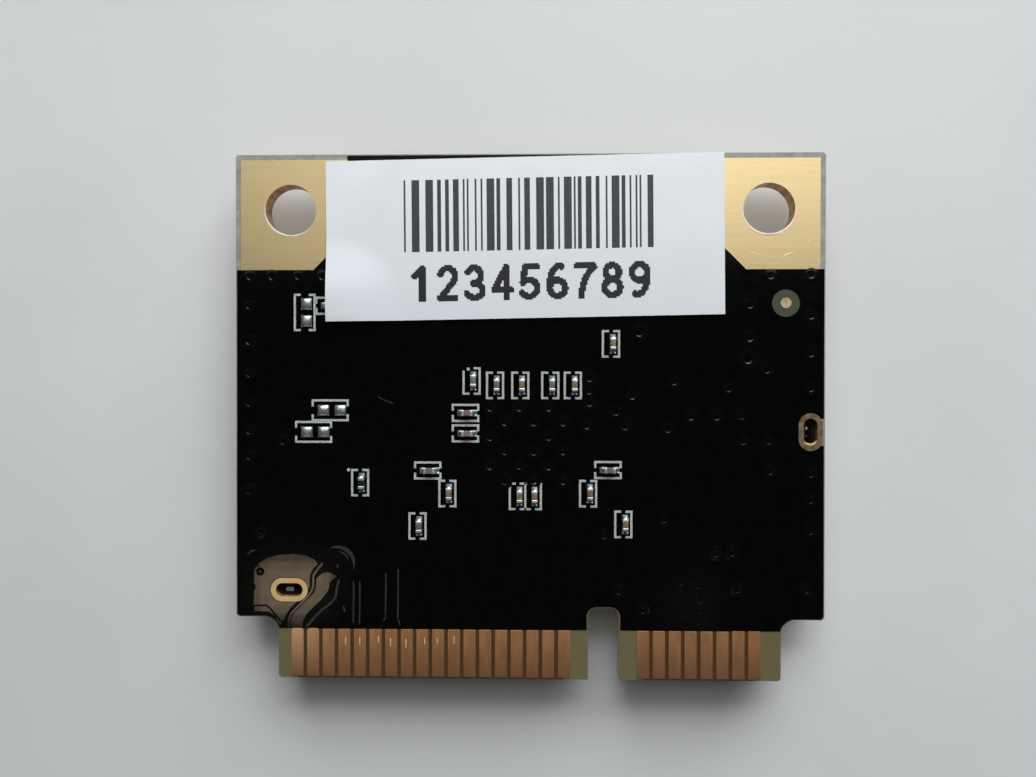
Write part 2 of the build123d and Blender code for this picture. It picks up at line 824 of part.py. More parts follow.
def leg_solder(place):
    """Solder that holds a leg in its slot."""
    x, y, turn = place
    leg = Pos(x, y) * Rot(0, 0, turn) * Rectangle(leg_width, frame_sheet)
    return layer(slot_shape(place, 0) - leg, front_face, back_face - leg_solder_recess)


save(shield_frame(), "shield_frame")
save(shield_lid(), "shield_lid")
save_group(foot_fillets(), "shield_solder")
save_group([leg_solder(place) for place in slot_places()], "leg_solder")

# Packages under the shield


def leadless_package(size_x, size_y, height):
    """Moulded package with broken top edges."""
    body = Pos(0, 0, solder_gap + height / 2) * Box(size_x, size_y, height)
    return chamfer(body.faces().sort_by(Axis.Z)[-1].edges(), package_chamfer)


def first_terminal_mark():
    """Round dent in a corner of the radio chip."""
    dent = Cylinder(package_mark_radius, 2 * package_mark_depth)
    reach = radio_size / 2 - 2 * package_chamfer - 2 * package_mark_radius
    return Pos(-reach, reach, solder_gap + radio_height) * dent


def crystal_can():
    """Ceramic tub with a seam-welded metal lid."""
    base = Pos(0, 0, crystal_base_height / 2) * Box(crystal_length, crystal_width, crystal_base_height)
    lid_length = crystal_length - 2 * crystal_lid_inset
    lid_width = crystal_width - 2 * crystal_lid_inset
    lid = Box(lid_length, lid_width, crystal_lid_height)
    lid = chamfer(lid.faces().sort_by(Axis.Z)[-1].edges(), package_chamfer)
    return Pos(0, 0, solder_gap) * (base + Pos(0, 0, crystal_base_height + crystal_lid_height / 2) * lid)


radio = leadless_package(radio_size, radio_size, radio_height) - first_terminal_mark()
save(on_front(radio, *radio_place), "radio_chip")
amplifier = leadless_package(front_end_size, front_end_size, front_end_height)
save(on_front(amplifier, *left_front_end_place), "left_front_end_chip")
save(on_front(amplifier, *right_front_end_place), "right_front_end_chip")
memory = leadless_package(memory_width, memory_length, memory_height)
save(on_front(memory, *memory_place), "memory_chip")
regulator = leadless_package(regulator_size, regulator_size, regulator_height)
save(on_front(regulator, *regulator_place), "regulator_chip")
save(on_front(crystal_can(), *crystal_place), "crystal")
inductor_sizes = (inductor_length, inductor_width, inductor_height, inductor_cap_length)
inductor = Pos(0, 0, solder_gap) * end_capped_block(*inductor_sizes)
save(on_front(inductor, *inductor_place), "power_inductor")
filter_sizes = (filter_length, filter_width, filter_height, filter_cap_length)
filter_block = Pos(0, 0, solder_gap) * end_capped_block(*filter_sizes)
save_group([on_front(filter_block, *place) for place in filter_places], "rf_filters")
for places, node in ((front_capacitors, "capacitors_front"), (front_resistors, "resistors_front")):
    save_group([on_front(chip, x, y, 90 if upright else 0) for x, y, upright in places], node)

front_solder = []
for x, y, turn in front_chip_places:
    front_solder += [on_front(joint, x, y, turn) for joint in chip_solder()]
front_solder += [on_front(joint, *inductor_place) for joint in block_solder(*inductor_sizes)]
for place in filter_places:
    front_solder += [on_front(joint, *place) for joint in block_solder(*filter_sizes)]
save_group(front_solder, "solder_joints_front")

# Antenna receptacles


def antenna_shell():
    """Tube with a lip, on a saddle that is folded down over the insulator into two feet."""
    shell_inner = antenna_shell_radius - antenna_shell_wall
    saddle_top = antenna_base_height + antenna_tab_thickness
    half_base = antenna_base / 2
    half_tab = antenna_tab_width / 2
    half_saddle = half_base + antenna_tab_thickness
    shell = slab(-half_saddle, half_saddle, -half_tab, half_tab, antenna_base_height, saddle_top)
    for side in (-1, 1):
        leg = slab(half_base, half_saddle, -half_tab, half_tab, 0, antenna_base_height)
        foot = slab(half_base, antenna_tab_reach, -half_tab, half_tab, 0, antenna_tab_thickness)
        shell += Rot(0, 0, 90 - 90 * side) * (leg + foot)
    lip_low = antenna_height - antenna_lip_height
    shell += layer(Circle(antenna_shell_radius - antenna_lip_depth), saddle_top, lip_low)
    shell += layer(Circle(antenna_shell_radius), lip_low, antenna_height)
    return shell - layer(Circle(shell_inner), antenna_base_height, antenna_height)


def antenna_pin():
    """Centre pin with its lead to the signal land."""
    half_lead = antenna_lead_width / 2
    lead = slab(-half_lead, half_lead, -antenna_tab_reach, half_lead, 0, antenna_tab_thickness)
    return lead + layer(Circle(antenna_pin_radius), antenna_tab_thickness, antenna_pin_height)


def antenna_parts():
    """Insulator, shell and centre pin of one receptacle, standing on zero."""
    pin = antenna_pin()
    insulator = Pos(0, 0, antenna_base_height / 2) * Box(antenna_base, antenna_base, antenna_base_height)
    return {"insulator": insulator - pin, "shell": antenna_shell(), "pin": pin}


for side, name in ((-1, "left"), (1, "right")):
    for piece, shape in antenna_parts().items():
        seated = Rot(0, 0, 180) * Pos(0, 0, solder_gap) * shape
        save(on_front(seated, side * antenna_x, antenna_y), f"{name}_antenna_{piece}")
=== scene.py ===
import logging
import math
import random
from dataclasses import dataclass, field
from enum import Enum
from functools import lru_cache

import bmesh
import bpy
from mathutils import Matrix, Vector


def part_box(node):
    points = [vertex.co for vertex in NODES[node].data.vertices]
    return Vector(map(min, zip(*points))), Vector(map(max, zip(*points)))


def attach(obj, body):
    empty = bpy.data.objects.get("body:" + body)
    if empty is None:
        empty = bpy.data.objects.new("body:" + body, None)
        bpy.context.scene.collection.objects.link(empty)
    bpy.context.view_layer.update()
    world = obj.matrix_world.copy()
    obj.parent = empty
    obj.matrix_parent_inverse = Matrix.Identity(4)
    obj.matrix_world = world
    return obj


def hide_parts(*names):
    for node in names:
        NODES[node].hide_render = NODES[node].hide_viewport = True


# Looks of a half-length wifi card for a laptop, lying parts side down on a pale floor.
# Sizes and places are in millimetres unless they say otherwise.

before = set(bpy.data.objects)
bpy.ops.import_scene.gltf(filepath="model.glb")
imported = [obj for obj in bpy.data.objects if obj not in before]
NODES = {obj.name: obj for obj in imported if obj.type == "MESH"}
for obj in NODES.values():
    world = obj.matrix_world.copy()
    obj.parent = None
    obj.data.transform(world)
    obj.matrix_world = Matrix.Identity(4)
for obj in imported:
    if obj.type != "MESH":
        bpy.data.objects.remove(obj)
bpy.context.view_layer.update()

CARD = "root"
MM = 0.001
LOG = logging.getLogger("wifi_card")

Colour = tuple[float, float, float]
Spot = tuple[float, float]
Point = tuple[float, float, float]
Ring = list[Point]


def linear(colour: Colour) -> tuple[float, float, float, float]:
    """Turns a colour in eight-bit steps into light values.

    Args:
        colour: Red, green and blue from 0 to 255.

    Returns:
        Red, green, blue and full cover, as a shader takes them.
    """
    parts = []
    for step in colour:
        part = step / 255
        parts.append(part / 12.92 if part <= 0.04045 else ((part + 0.055) / 1.055) ** 2.4)
    return (parts[0], parts[1], parts[2], 1.0)


def low_corner(node: str) -> Point:
    """Lowest corner of a solid, in millimetres."""
    return tuple(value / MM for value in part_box(node)[0])


def high_corner(node: str) -> Point:
    """Highest corner of a solid, in millimetres."""
    return tuple(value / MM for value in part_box(node)[1])


def middle_of(node: str) -> Spot:
    """Middle of a solid in plan.

    Args:
        node: Name of the solid.

    Returns:
        Its place along X and Y.
    """
    low = low_corner(node)
    high = high_corner(node)
    return ((low[0] + high[0]) / 2, (low[1] + high[1]) / 2)


def turn_of(node: str) -> float:
    """Turn of an oblong solid.

    Args:
        node: Name of the solid.

    Returns:
        90 degrees where it is longer along Y, and 0 where it is not.
    """
    low = low_corner(node)
    high = high_corner(node)
    return 90.0 if high[1] - low[1] > high[0] - low[0] else 0.0


# Places and settings that several pieces share

BACK_FACE = high_corner("solder_mask_back")[2]
BARE_PAIRS = ((-11.3, 5.305, 90.0), (-10.0, 0.325, 0.0), (-10.85, -0.775, 0.0))
CRISP_BEND = 15.0
COAT_GLOSS = 0.08


# Finishes


class NodeSheet:
    """Node sheet of one finish, round its main shader."""

    def __init__(self, title: str) -> None:
        """Starts an empty sheet.

        Args:
            title: Name of the finish.
        """
        self.material = bpy.data.materials.new(title)
        self.material.use_nodes = True
        self.tree = self.material.node_tree
        self.shader = next(node for node in self.tree.nodes if node.type == "BSDF_PRINCIPLED")
        self.place = self.add("ShaderNodeTexCoord").outputs["Object"]

    def add(self, kind: str) -> bpy.types.Node:
        """Adds a node of one kind."""
        return self.tree.nodes.new(kind)

    def feed(self, socket: bpy.types.NodeSocket, value: object) -> None:
        """Links a socket, or writes a plain value on it.

        Args:
            socket: Input that takes the value.
            value: Another node's output, a number or a colour.
        """
        if isinstance(value, bpy.types.NodeSocket):
            self.tree.links.new(value, socket)
        else:
            socket.default_value = value

    def stretched(self, factors: Point) -> bpy.types.NodeSocket:
        """Place on the card, drawn out along the axes.

        Args:
            factors: How much finer the pattern gets along X, Y and Z.

        Returns:
            The stretched place.
        """
        mapping = self.add("ShaderNodeMapping")
        self.feed(mapping.inputs["Vector"], self.place)
        mapping.inputs["Scale"].default_value = factors
        return mapping.outputs["Vector"]

    def noise(self, place: bpy.types.NodeSocket, per_mm: float, detail: float = 3.0) -> bpy.types.NodeSocket:
        """Soft noise from 0 to 1.

        Args:
            place: Where it is read.
            per_mm: Patches in a millimetre.
            detail: How many finer layers it has.

        Returns:
            The noise value.
        """
        node = self.add("ShaderNodeTexNoise")
        self.feed(node.inputs["Vector"], place)
        node.inputs["Scale"].default_value = per_mm / MM
        node.inputs["Detail"].default_value = detail
        return node.outputs["Fac"]

    def specks(self, place: bpy.types.NodeSocket, per_mm: float) -> bpy.types.NodeSocket:
        """Distance to the nearest of many scattered specks.

        Args:
            place: Where it is read.
            per_mm: Specks in a millimetre.

        Returns:
            The distance, about 0 to 1.
        """
        node = self.add("ShaderNodeTexVoronoi")
        self.feed(node.inputs["Vector"], place)
        node.inputs["Scale"].default_value = per_mm / MM
        return node.outputs["Distance"]

    def threads(self, axis: str, per_mm: float) -> bpy.types.NodeSocket:
        """Even waves along one axis, as threads of a weave give.

        Args:
            axis: X, Y or Z.
            per_mm: Waves in a millimetre.

        Returns:
            The wave value from 0 to 1.
        """
        node = self.add("ShaderNodeTexWave")
        self.feed(node.inputs["Vector"], self.place)
        node.bands_direction = axis
        node.inputs["Scale"].default_value = per_mm / MM / math.tau * 2
        node.inputs["Distortion"].default_value = 0.6
        node.inputs["Detail"].default_value = 1.0
        return node.outputs["Fac"]

    def spread(self, value: bpy.types.NodeSocket, start: float, end: float,
               low: float = 0.3, high: float = 0.7) -> bpy.types.NodeSocket:
        """Draws a value from one range out to another.

        Args:
            value: Value to read.
            start: Result at the low end.
            end: Result at the high end.
            low: Low end of the value.
            high: High end of the value.

        Returns:
            The new value.
        """
        node = self.add("ShaderNodeMapRange")
        self.feed(node.inputs["Value"], value)
        for name, amount in (("From Min", low), ("From Max", high), ("To Min", start), ("To Max", end)):
            node.inputs[name].default_value = amount
        return node.outputs["Result"]

    def along(self, axis: str, start: float, end: float) -> bpy.types.NodeSocket:
        """Value that rises from 0 to 1 between two places on an axis.

        Args:
            axis: X, Y or Z.
            start: Place of 0, in millimetres.
            end: Place of 1, in millimetres.

        Returns:
            The rising value.
        """
        parts = self.add("ShaderNodeSeparateXYZ")
        self.feed(parts.inputs[0], self.place)
        return self.spread(parts.outputs[axis], 0.0, 1.0, start * MM, end * MM)

    def near(self, place: Point, radius: float) -> bpy.types.NodeSocket:
        """Value that is 1 within a radius of a place and 0 outside it.

        Args:
            place: The place, in millimetres.
            radius: The radius, in millimetres.

        Returns:
            The value, with a soft border.
        """
        node = self.add("ShaderNodeVectorMath")
        node.operation = "DISTANCE"
        self.feed(node.inputs[0], self.place)
        node.inputs[1].default_value = tuple(value * MM for value in place)
        return self.spread(node.outputs["Value"], 1.0, 0.0, radius * MM, 1.05 * radius * MM)

    def sums(self, first: object, second: object, way: str = "ADD") -> bpy.types.NodeSocket:
        """Joins two numbers.

        Args:
            first: One number.
            second: The other number.
            way: ADD, MULTIPLY, SUBTRACT, MINIMUM or MAXIMUM.

        Returns:
            The joined number.
        """
        node = self.add("ShaderNodeMath")
        node.operation = way
        self.feed(node.inputs[0], first)
        self.feed(node.inputs[1], second)
        return node.outputs[0]

    def blend(self, share: object, first: object, second: object) -> bpy.types.NodeSocket:
        """Blends two colours.

        Args:
            share: Share of the second one, from 0 to 1.
            first: One colour.
            second: The other colour.

        Returns:
            The blended colour.
        """
        node = self.add("ShaderNodeMix")
        node.data_type = "RGBA"
        self.feed(node.inputs["Factor"], share)
        self.feed(node.inputs[6], first)
        self.feed(node.inputs[7], second)
        return node.outputs[2]

    def emboss(self, layers: list[tuple[bpy.types.NodeSocket, float]]) -> None:
        """Raises fine relief on the surface.

        Args:
            layers: Height value and depth in millimetres of each layer.
        """
        normal = None
        for height, depth in layers:
            node = self.add("ShaderNodeBump")
            node.inputs["Strength"].default_value = 1.0
            node.inputs["Distance"].default_value = depth * MM
            self.feed(node.inputs["Height"], height)
            if normal is not None:
                self.feed(node.inputs["Normal"], normal)
            normal = node.outputs["Normal"]
        self.feed(self.shader.inputs["Normal"], normal)


@dataclass(frozen=True)
class Finish:
    """Finish with mottled colour, uneven gloss and fine relief.

    Attributes:
        title: Name of the finish.
        light: Lighter colour of the mottling.
        dark: Darker colour of the mottling.
        metal: 1 for bare metal and 0 for the rest.
        gloss: Roughness where it is smoothest and where it is dullest.
        grain: Patches of the mottling in a millimetre.
        stretch: How much finer the grain gets along X, Y and Z.
        relief: Depth of the fine relief.
        coat: Clear coat, from 0 to 1.
        shine: Strength of the plain reflection.
    """

    title: str
    light: Colour
    dark: Colour
    metal: float = 0.0
    gloss: Spot = (0.4, 0.6)
    grain: float = 3.0
    stretch: Point = (1.0, 1.0, 1.0)
    relief: float = 0.004
    coat: float = 0.0
    shine: float = 0.5

    def colour(self, sheet: NodeSheet) -> bpy.types.NodeSocket:
        """Mottled colour of the finish."""
        patches = sheet.noise(sheet.stretched(self.stretch), self.grain)
        return sheet.blend(sheet.spread(patches, 0.0, 1.0), linear(self.dark), linear(self.light))

    def layers(self, sheet: NodeSheet) -> list[tuple[bpy.types.NodeSocket, float]]:
        """Height values and depths of the fine relief."""
        return [(sheet.noise(sheet.stretched(self.stretch), 5 * self.grain), self.relief)]

    def build(self) -> bpy.types.Material:
        """Builds the node sheet.

        Returns:
            The finished material.
        """
        sheet = NodeSheet(self.title)
        inputs = sheet.shader.inputs
        sheet.feed(inputs["Base Color"], self.colour(sheet))
        worn = sheet.noise(sheet.stretched(self.stretch), 2 * self.grain)
        sheet.feed(inputs["Roughness"], sheet.spread(worn, self.gloss[0], self.gloss[1]))
        inputs["Metallic"].default_value = self.metal
        inputs["Specular IOR Level"].default_value = self.shine
        inputs["Coat Weight"].default_value = self.coat
        inputs["Coat Roughness"].default_value = COAT_GLOSS
        sheet.emboss(self.layers(sheet))
        return sheet.material


@dataclass(frozen=True)
class Mask(Finish):
    """Black solder mask: glossy, with a faint pull over the glass weave.

    Attributes:
        weave: Depth of the pull over the weave.
        threads_per_mm: Threads of the weave in a millimetre.
    """

    weave: float = 0.0002
    threads_per_mm: float = 2.2

    def layers(self, sheet: NodeSheet) -> list[tuple[bpy.types.NodeSocket, float]]:
        """Orange peel over the weave.

        Args:
            sheet: Node sheet of the finish.

        Returns:
            Height values and their depths.
        """
        peel = sheet.noise(sheet.place, self.grain, 2.0)
        return [
            (sheet.threads("X", self.threads_per_mm), self.weave),
            (sheet.threads("Y", self.threads_per_mm), self.weave),
            (peel, self.relief),
        ]


@dataclass(frozen=True)
class GlassLaminate(Finish):
    """Cut glass laminate, with its layers on the edge.

    Attributes:
        layers_per_mm: Layers in a millimetre.
    """

    layers_per_mm: float = 7.0

    def colour(self, sheet: NodeSheet) -> bpy.types.NodeSocket:
        """Pale and darker layers, mottled.

        Args:
            sheet: Node sheet of the finish.

        Returns:
            The colour.
        """
        mottled = Finish.colour(self, sheet)
        stripes = sheet.threads("Z", self.layers_per_mm)
        return sheet.blend(sheet.spread(stripes, 0.0, 0.35), mottled, linear(self.dark))

    def layers(self, sheet: NodeSheet) -> list[tuple[bpy.types.NodeSocket, float]]:
        """Ends of the glass threads."""
        return [
            (sheet.threads("Z", self.layers_per_mm), self.relief),
            (sheet.noise(sheet.place, 5 * self.grain), self.relief),
        ]


@dataclass(frozen=True)
class LaminateFace(Finish):
    """Bare face of the laminate: painted shade that darkens it towards the contacts, painted shade and
    reflection that turn it brown between them, and darker in the window of the aiming mark.

    Attributes:
        painted_low_shade: Colour at the contacts, painted shade of the lower board.
        painted_gap_shade: Colour in the gaps between them, painted shade with a brown painted reflection of
            the contacts' sides.
        window: Colour round the aiming mark.
        window_radius: How far that colour reaches from the mark's middle.
    """

    # Painted shade: the lower board is painted darker, and the gaps between the contacts brown, as shade and
    # reflection.
    painted_low_shade: Colour = (110, 100, 70)
    painted_gap_shade: Colour = (74, 50, 26)
    window: Colour = (66, 68, 50)
    window_radius: float = 0.9

    def colour(self, sheet: NodeSheet) -> bpy.types.NodeSocket:
        """Olive with painted shade that darkens it down the board, and painted shade and reflection that
        turn it brown between the contacts.

        Args:
            sheet: Node sheet of the finish.

        Returns:
            The colour.
        """
        mottled = Finish.colour(self, sheet)
        # Painted shade, darker down the board.
        with_painted_shade = sheet.blend(sheet.along("Y", 4.0, -8.0), mottled, linear(self.painted_low_shade))
        contacts = EdgeContacts()
        places = contacts.places()
        on_tongue = sheet.along("Y", contacts.top() + 0.05, contacts.top())
        for first, last in ((0, contacts.left_count - 1), (contacts.left_count, len(places) - 1)):
            after = sheet.along("X", places[first], places[first] + 0.02)
            before = sheet.along("X", places[last] + 0.02, places[last])
            share = sheet.sums(sheet.sums(after, before, "MULTIPLY"), on_tongue, "MULTIPLY")
            # Painted shade and reflection, brown between the contacts.
            with_painted_shade = sheet.blend(share, with_painted_shade, linear(self.painted_gap_shade))
        mark = (*middle_of("fiducial_target"), high_corner("fiducial_target")[2])
        return sheet.blend(sheet.near(mark, self.window_radius), with_painted_shade, linear(self.window))


@dataclass(frozen=True)
class Ceramic(Finish):
    """Fired ceramic with fine specks.

    Attributes:
        specks_per_mm: Specks in a millimetre.
    """

    specks_per_mm: float = 16.0

    def colour(self, sheet: NodeSheet) -> bpy.types.NodeSocket:
        """Mottled body with dark specks.

        Args:
            sheet: Node sheet of the finish.

        Returns:
            The colour.
        """
        mottled = Finish.colour(self, sheet)
        specks = sheet.spread(sheet.specks(sheet.place, self.specks_per_mm), 0.5, 0.0, 0.0, 0.35)
        return sheet.blend(specks, mottled, linear(self.dark))


@dataclass(frozen=True)
class ContactGold(Finish):
    """Thin hard gold on a contact, with painted shade that darkens it towards its end, and yellower on the
    first contacts.

    Attributes:
        painted_foot_shade: Colour at the end of a contact, painted shade.
        first_colour: Colour of the first contacts.
    """

    painted_foot_shade: Colour = (144, 104, 74)
    first_colour: Colour = (242, 190, 134)

    def colour(self, sheet: NodeSheet) -> bpy.types.NodeSocket:
        """Gold with painted shade that turns it copper-brown down the contact.

        Args:
            sheet: Node sheet of the finish.

        Returns:
            The colour.
        """
        mottled = Finish.colour(self, sheet)
        low = low_corner("edge_contacts_back")
        high = high_corner("edge_contacts_back")[1]
        first = sheet.blend(sheet.along("X", low[0] + 2.2, low[0] + 0.4), mottled, linear(self.first_colour))
        # Painted shade: darker towards the end of the contact.
        return sheet.blend(sheet.along("Y", high, low[1]), first, linear(self.painted_foot_shade))


@dataclass(frozen=True)
class LeggedSteel(Finish):
    """Tinned steel with painted shade on the tips of the legs, above the board, where they sit in the slots.

    Attributes:
        tip_height: Height that the painted shade starts at.
        painted_tip_shade: Colour of the painted shade.
        painted_spot_radius: Radius of the painted highlight on the left tip.
    """

    # Painted shade on the leg tips in the slots, and a painted highlight on the left one.
    tip_height: float = 2.2
    painted_tip_shade: Colour = (38, 32, 28)
    painted_spot_radius: float = 0.2

    def colour(self, sheet: NodeSheet) -> bpy.types.NodeSocket:
        """Steel with painted shade on the leg tips, the left one with a painted highlight spot.

        Args:
            sheet: Node sheet of the finish.

        Returns:
            The colour.
        """
        mottled = Finish.colour(self, sheet)
        tips = sheet.along("Z", self.tip_height, self.tip_height + 0.1)
        # Painted shade: dark leg tips.
        shaded_tips = sheet.blend(tips, mottled, linear(self.painted_tip_shade))
        # Painted highlight: a pale spot on the left tip.
        spot = (*middle_of("left_slot_plating"), high_corner("shield_frame")[2])
        return sheet.blend(sheet.near(spot, self.painted_spot_radius), shaded_tips, linear(self.light))


@dataclass(frozen=True)
class Paper(Finish):
    """Coated label paper: faint fibres, cloudy mottling and painted shade towards its lower edge.

    Attributes:
        cloud: Clouds in a millimetre.
        painted_paper_shade: Greyer colour of the painted shade that it fades to at its lower edge.
    """

    cloud: float = 0.35
    # Painted shade: the paper greys towards its lower edge.
    painted_paper_shade: Colour = (218, 222, 224)

    def colour(self, sheet: NodeSheet) -> bpy.types.NodeSocket:
        """Cool white with clouds a few millimetres across, and painted shade that greys it to its lower
        edge.

        Args:
            sheet: Node sheet of the finish.

        Returns:
            The colour.
        """
        low = low_corner("paper_label")
        high = high_corner("paper_label")
        clouds = sheet.noise(sheet.place, self.cloud, 4.0)
        fibres = sheet.noise(sheet.stretched((1.0, 3.0, 1.0)), 9.0)
        both = sheet.sums(sheet.spread(clouds, 0.0, 0.7), sheet.spread(fibres, 0.0, 0.3))
        unshaded = sheet.blend(both, linear(self.dark), linear(self.light))
        # Painted shade, greyer towards the lower edge.
        return sheet.blend(sheet.along("Y", high[1], low[1] - 2.0), unshaded, linear(self.painted_paper_shade))


MASK = Mask("black_solder_mask", (6, 7, 6), (3, 4, 3), gloss=(0.1, 0.16), grain=1.6, relief=0.0012,
            shine=0.14)
VIA_MASK = Mask("mask_over_via", (6, 7, 6), (4, 4, 4), gloss=(0.07, 0.11), grain=3.0, relief=0.0004,
                shine=0.34)
COVERED_COPPER = Mask("mask_over_copper", (128, 119, 106), (112, 103, 90), metal=1.0, gloss=(0.08, 0.12),
                      grain=1.4, relief=0.0004)
# Painted highlight: grey that stands for glints on the edges of the tracks under the mask; the scratches in
# the mask use it too.
PAINTED_GLINT_AND_SCRATCH = Mask("painted_track_glint_and_scratch", (58, 57, 53), (44, 44, 41), gloss=(0.3, 0.42), grain=3.0,
                    relief=0.001, shine=0.3)
LAMINATE_EDGE = GlassLaminate("laminate_edge", (220, 210, 180), (160, 150, 118), gloss=(0.5, 0.7))
LAMINATE_FACE = LaminateFace("laminate_face", (163, 165, 152), (139, 140, 126), gloss=(0.35, 0.5),
                             relief=0.002)
PAD_GOLD = Finish("brushed_pad_gold", (240, 214, 162), (231, 205, 151), metal=0.82, gloss=(0.3, 0.36),
                  grain=2.4, stretch=(0.15, 7.0, 1.0), relief=0.0006)
RIM_GOLD = Finish("bright_rim_gold", (255, 220, 162), (244, 198, 134), metal=0.4, gloss=(0.3, 0.4),
                  grain=1.5, relief=0.0002)
# Painted shade: the right slot's gold, a darker copy of the left slot's gold.
SHADED_RIM_GOLD = Finish("painted_shaded_rim_gold", (158, 134, 106), (110, 88, 68), metal=0.4,
                        gloss=(0.3, 0.45), grain=2.5, relief=0.0004)
TARGET_GOLD = Finish("target_gold", (222, 198, 162), (180, 150, 114), metal=0.4, gloss=(0.3, 0.4), grain=4.0,
                     relief=0.0004)
# Painted highlight: near-white gold for the lit rims of the screw holes.
HOLE_RIM_HIGHLIGHT = Finish("painted_hole_rim_highlight", (255, 248, 230), (246, 234, 208), metal=0.25, gloss=(0.26, 0.34),
                  grain=2.0, relief=0.0004)
# Painted highlight: the lit lip inside the right slot.
LIT_LIP = Finish("lit_slot_lip", (250, 222, 174), (236, 202, 150), metal=0.2, gloss=(0.3, 0.4),
                 relief=0.0002)
HOLE_COPPER = Finish("hole_wall_copper", (226, 184, 138), (150, 108, 80), metal=0.6, gloss=(0.28, 0.45),
                     grain=3.0, stretch=(1.0, 1.0, 0.3), relief=0.002)
CONTACT = ContactGold("contact_gold", (208, 151, 98), (184, 128, 82), metal=0.5, gloss=(0.3, 0.42),
                      grain=2.2, stretch=(1.0, 0.25, 1.0), relief=0.0012)
SCREW_MARK = Finish("screw_mark_gold", (250, 232, 190), (242, 220, 174), metal=0.2, gloss=(0.3, 0.4),
                    grain=6.0, relief=0.0002)
PROBE_MARK = Finish("rubbed_gold", (236, 200, 160), (222, 184, 142), metal=0.1, gloss=(0.3, 0.4),
                    grain=6.0, relief=0.0002)
# Painted highlight: the lit upper edge of a contact.
CONTACT_EDGE_HIGHLIGHT = Finish("painted_contact_edge_highlight", (206, 164, 122), (186, 144, 104), metal=0.1, gloss=(0.3, 0.4),
                  grain=6.0, relief=0.0002)
TIN = Finish("bright_tin", (226, 228, 230), (196, 198, 200), metal=0.8, gloss=(0.34, 0.46), grain=4.0,
             relief=0.0004)
SHADED_SOLDER = Finish("shaded_solder", (122, 124, 128), (84, 86, 90), metal=0.9, gloss=(0.3, 0.4),
                       relief=0.0004)
# Painted highlight: a pale, less metallic copy of the solder for glints on small beads.
GLINT_TIN = Finish("painted_glint_beads", (224, 226, 228), (200, 202, 204), metal=0.3, gloss=(0.26, 0.36),
                  grain=4.0, relief=0.0004)
SOLDER = Finish("reflowed_solder", (214, 216, 218), (176, 178, 178), metal=0.9, gloss=(0.26, 0.36),
                relief=0.0004)
SLOT_SOLDER = Finish("solder_in_slot", (46, 40, 34), (24, 21, 18), metal=0.7, grain=4.0, relief=0.003)
LAND_GOLD = Finish("small_land_gold", (226, 186, 124), (190, 148, 92), metal=1.0, gloss=(0.25, 0.4),
                   grain=4.0)
OUTLINE_INK = Finish("outline_ink", (194, 197, 190), (158, 163, 156), gloss=(0.5, 0.65), grain=5.0)
PAPER = Paper("label_paper", (247, 248, 249), (235, 237, 238), gloss=(0.5, 0.58), grain=2.0, relief=0.0012,
              shine=0.24)
BAR_INK = Finish("bar_ink", (62, 60, 68), (46, 44, 52), gloss=(0.45, 0.6), grain=6.0, relief=0.002)
DIGIT_INK = Finish("digit_ink", (26, 23, 28), (12, 11, 14), gloss=(0.5, 0.65), grain=6.0, relief=0.002)
RESISTOR_COAT = Finish("resistor_coat", (34, 34, 36), (18, 18, 20), gloss=(0.2, 0.3), grain=5.0, coat=0.3)
LEGGED_STEEL = LeggedSteel("tinned_frame_steel", (214, 212, 206), (184, 182, 176), metal=1.0,
                           gloss=(0.28, 0.42), grain=1.2, stretch=(0.5, 3.0, 1.0), relief=0.003)
LID_STEEL = Finish("lid_steel", (208, 208, 204), (180, 180, 176), metal=1.0, gloss=(0.3, 0.45), grain=1.0,
                   stretch=(4.0, 0.4, 1.0), relief=0.003)
RESIN = Finish("package_resin", (40, 40, 42), (26, 26, 28), gloss=(0.5, 0.7), grain=6.0, relief=0.006)
CRYSTAL_CAN = Finish("crystal_can", (206, 198, 178), (176, 168, 150), metal=1.0, gloss=(0.25, 0.35),
                     grain=2.0)
FERRITE = Ceramic("wound_ferrite", (84, 82, 80), (54, 52, 52), gloss=(0.5, 0.7), grain=4.0)
FILTER_CERAMIC = Ceramic("filter_ceramic", (216, 212, 202), (176, 172, 162), gloss=(0.4, 0.55), grain=4.0)
INSULATOR = Finish("moulded_insulator", (226, 220, 204), (204, 198, 182), gloss=(0.4, 0.55), grain=2.0)
ANTENNA_GOLD = Finish("antenna_gold", (236, 200, 130), (204, 166, 100), metal=1.0, gloss=(0.2, 0.34))
FLOOR = Finish("pale_floor", (224, 224, 222), (216, 216, 214), gloss=(0.6, 0.75), grain=0.05, relief=0.02)


class ChipBody(Enum):
    """Body colours of the small ceramic chips, as light and dark pairs."""

    GREY_GREEN = ((124, 126, 112), (78, 80, 68))
    GREY = ((124, 120, 112), (80, 76, 70))
    RED_BROWN = ((158, 116, 86), (104, 74, 56))
    OLIVE_YELLOW = ((144, 136, 94), (94, 88, 56))
    PINK_BROWN = ((142, 122, 110), (96, 80, 72))
    OCHRE = ((150, 120, 88), (98, 76, 52))
    OLIVE_GREY = ((124, 118, 98), (80, 75, 60))
    OLIVE_BROWN = ((136, 108, 80), (88, 66, 46))

    def finish(self) -> Finish:
        """Ceramic finish of this colour."""
        light, dark = self.value
        return Ceramic(f"ceramic_{self.name.lower()}", light, dark, gloss=(0.35, 0.5), grain=9.0)


@lru_cache(maxsize=None)
def material_of(finish: Finish) -> bpy.types.Material:
    """Material of a finish, built once."""
    return finish.build()


# Shapes


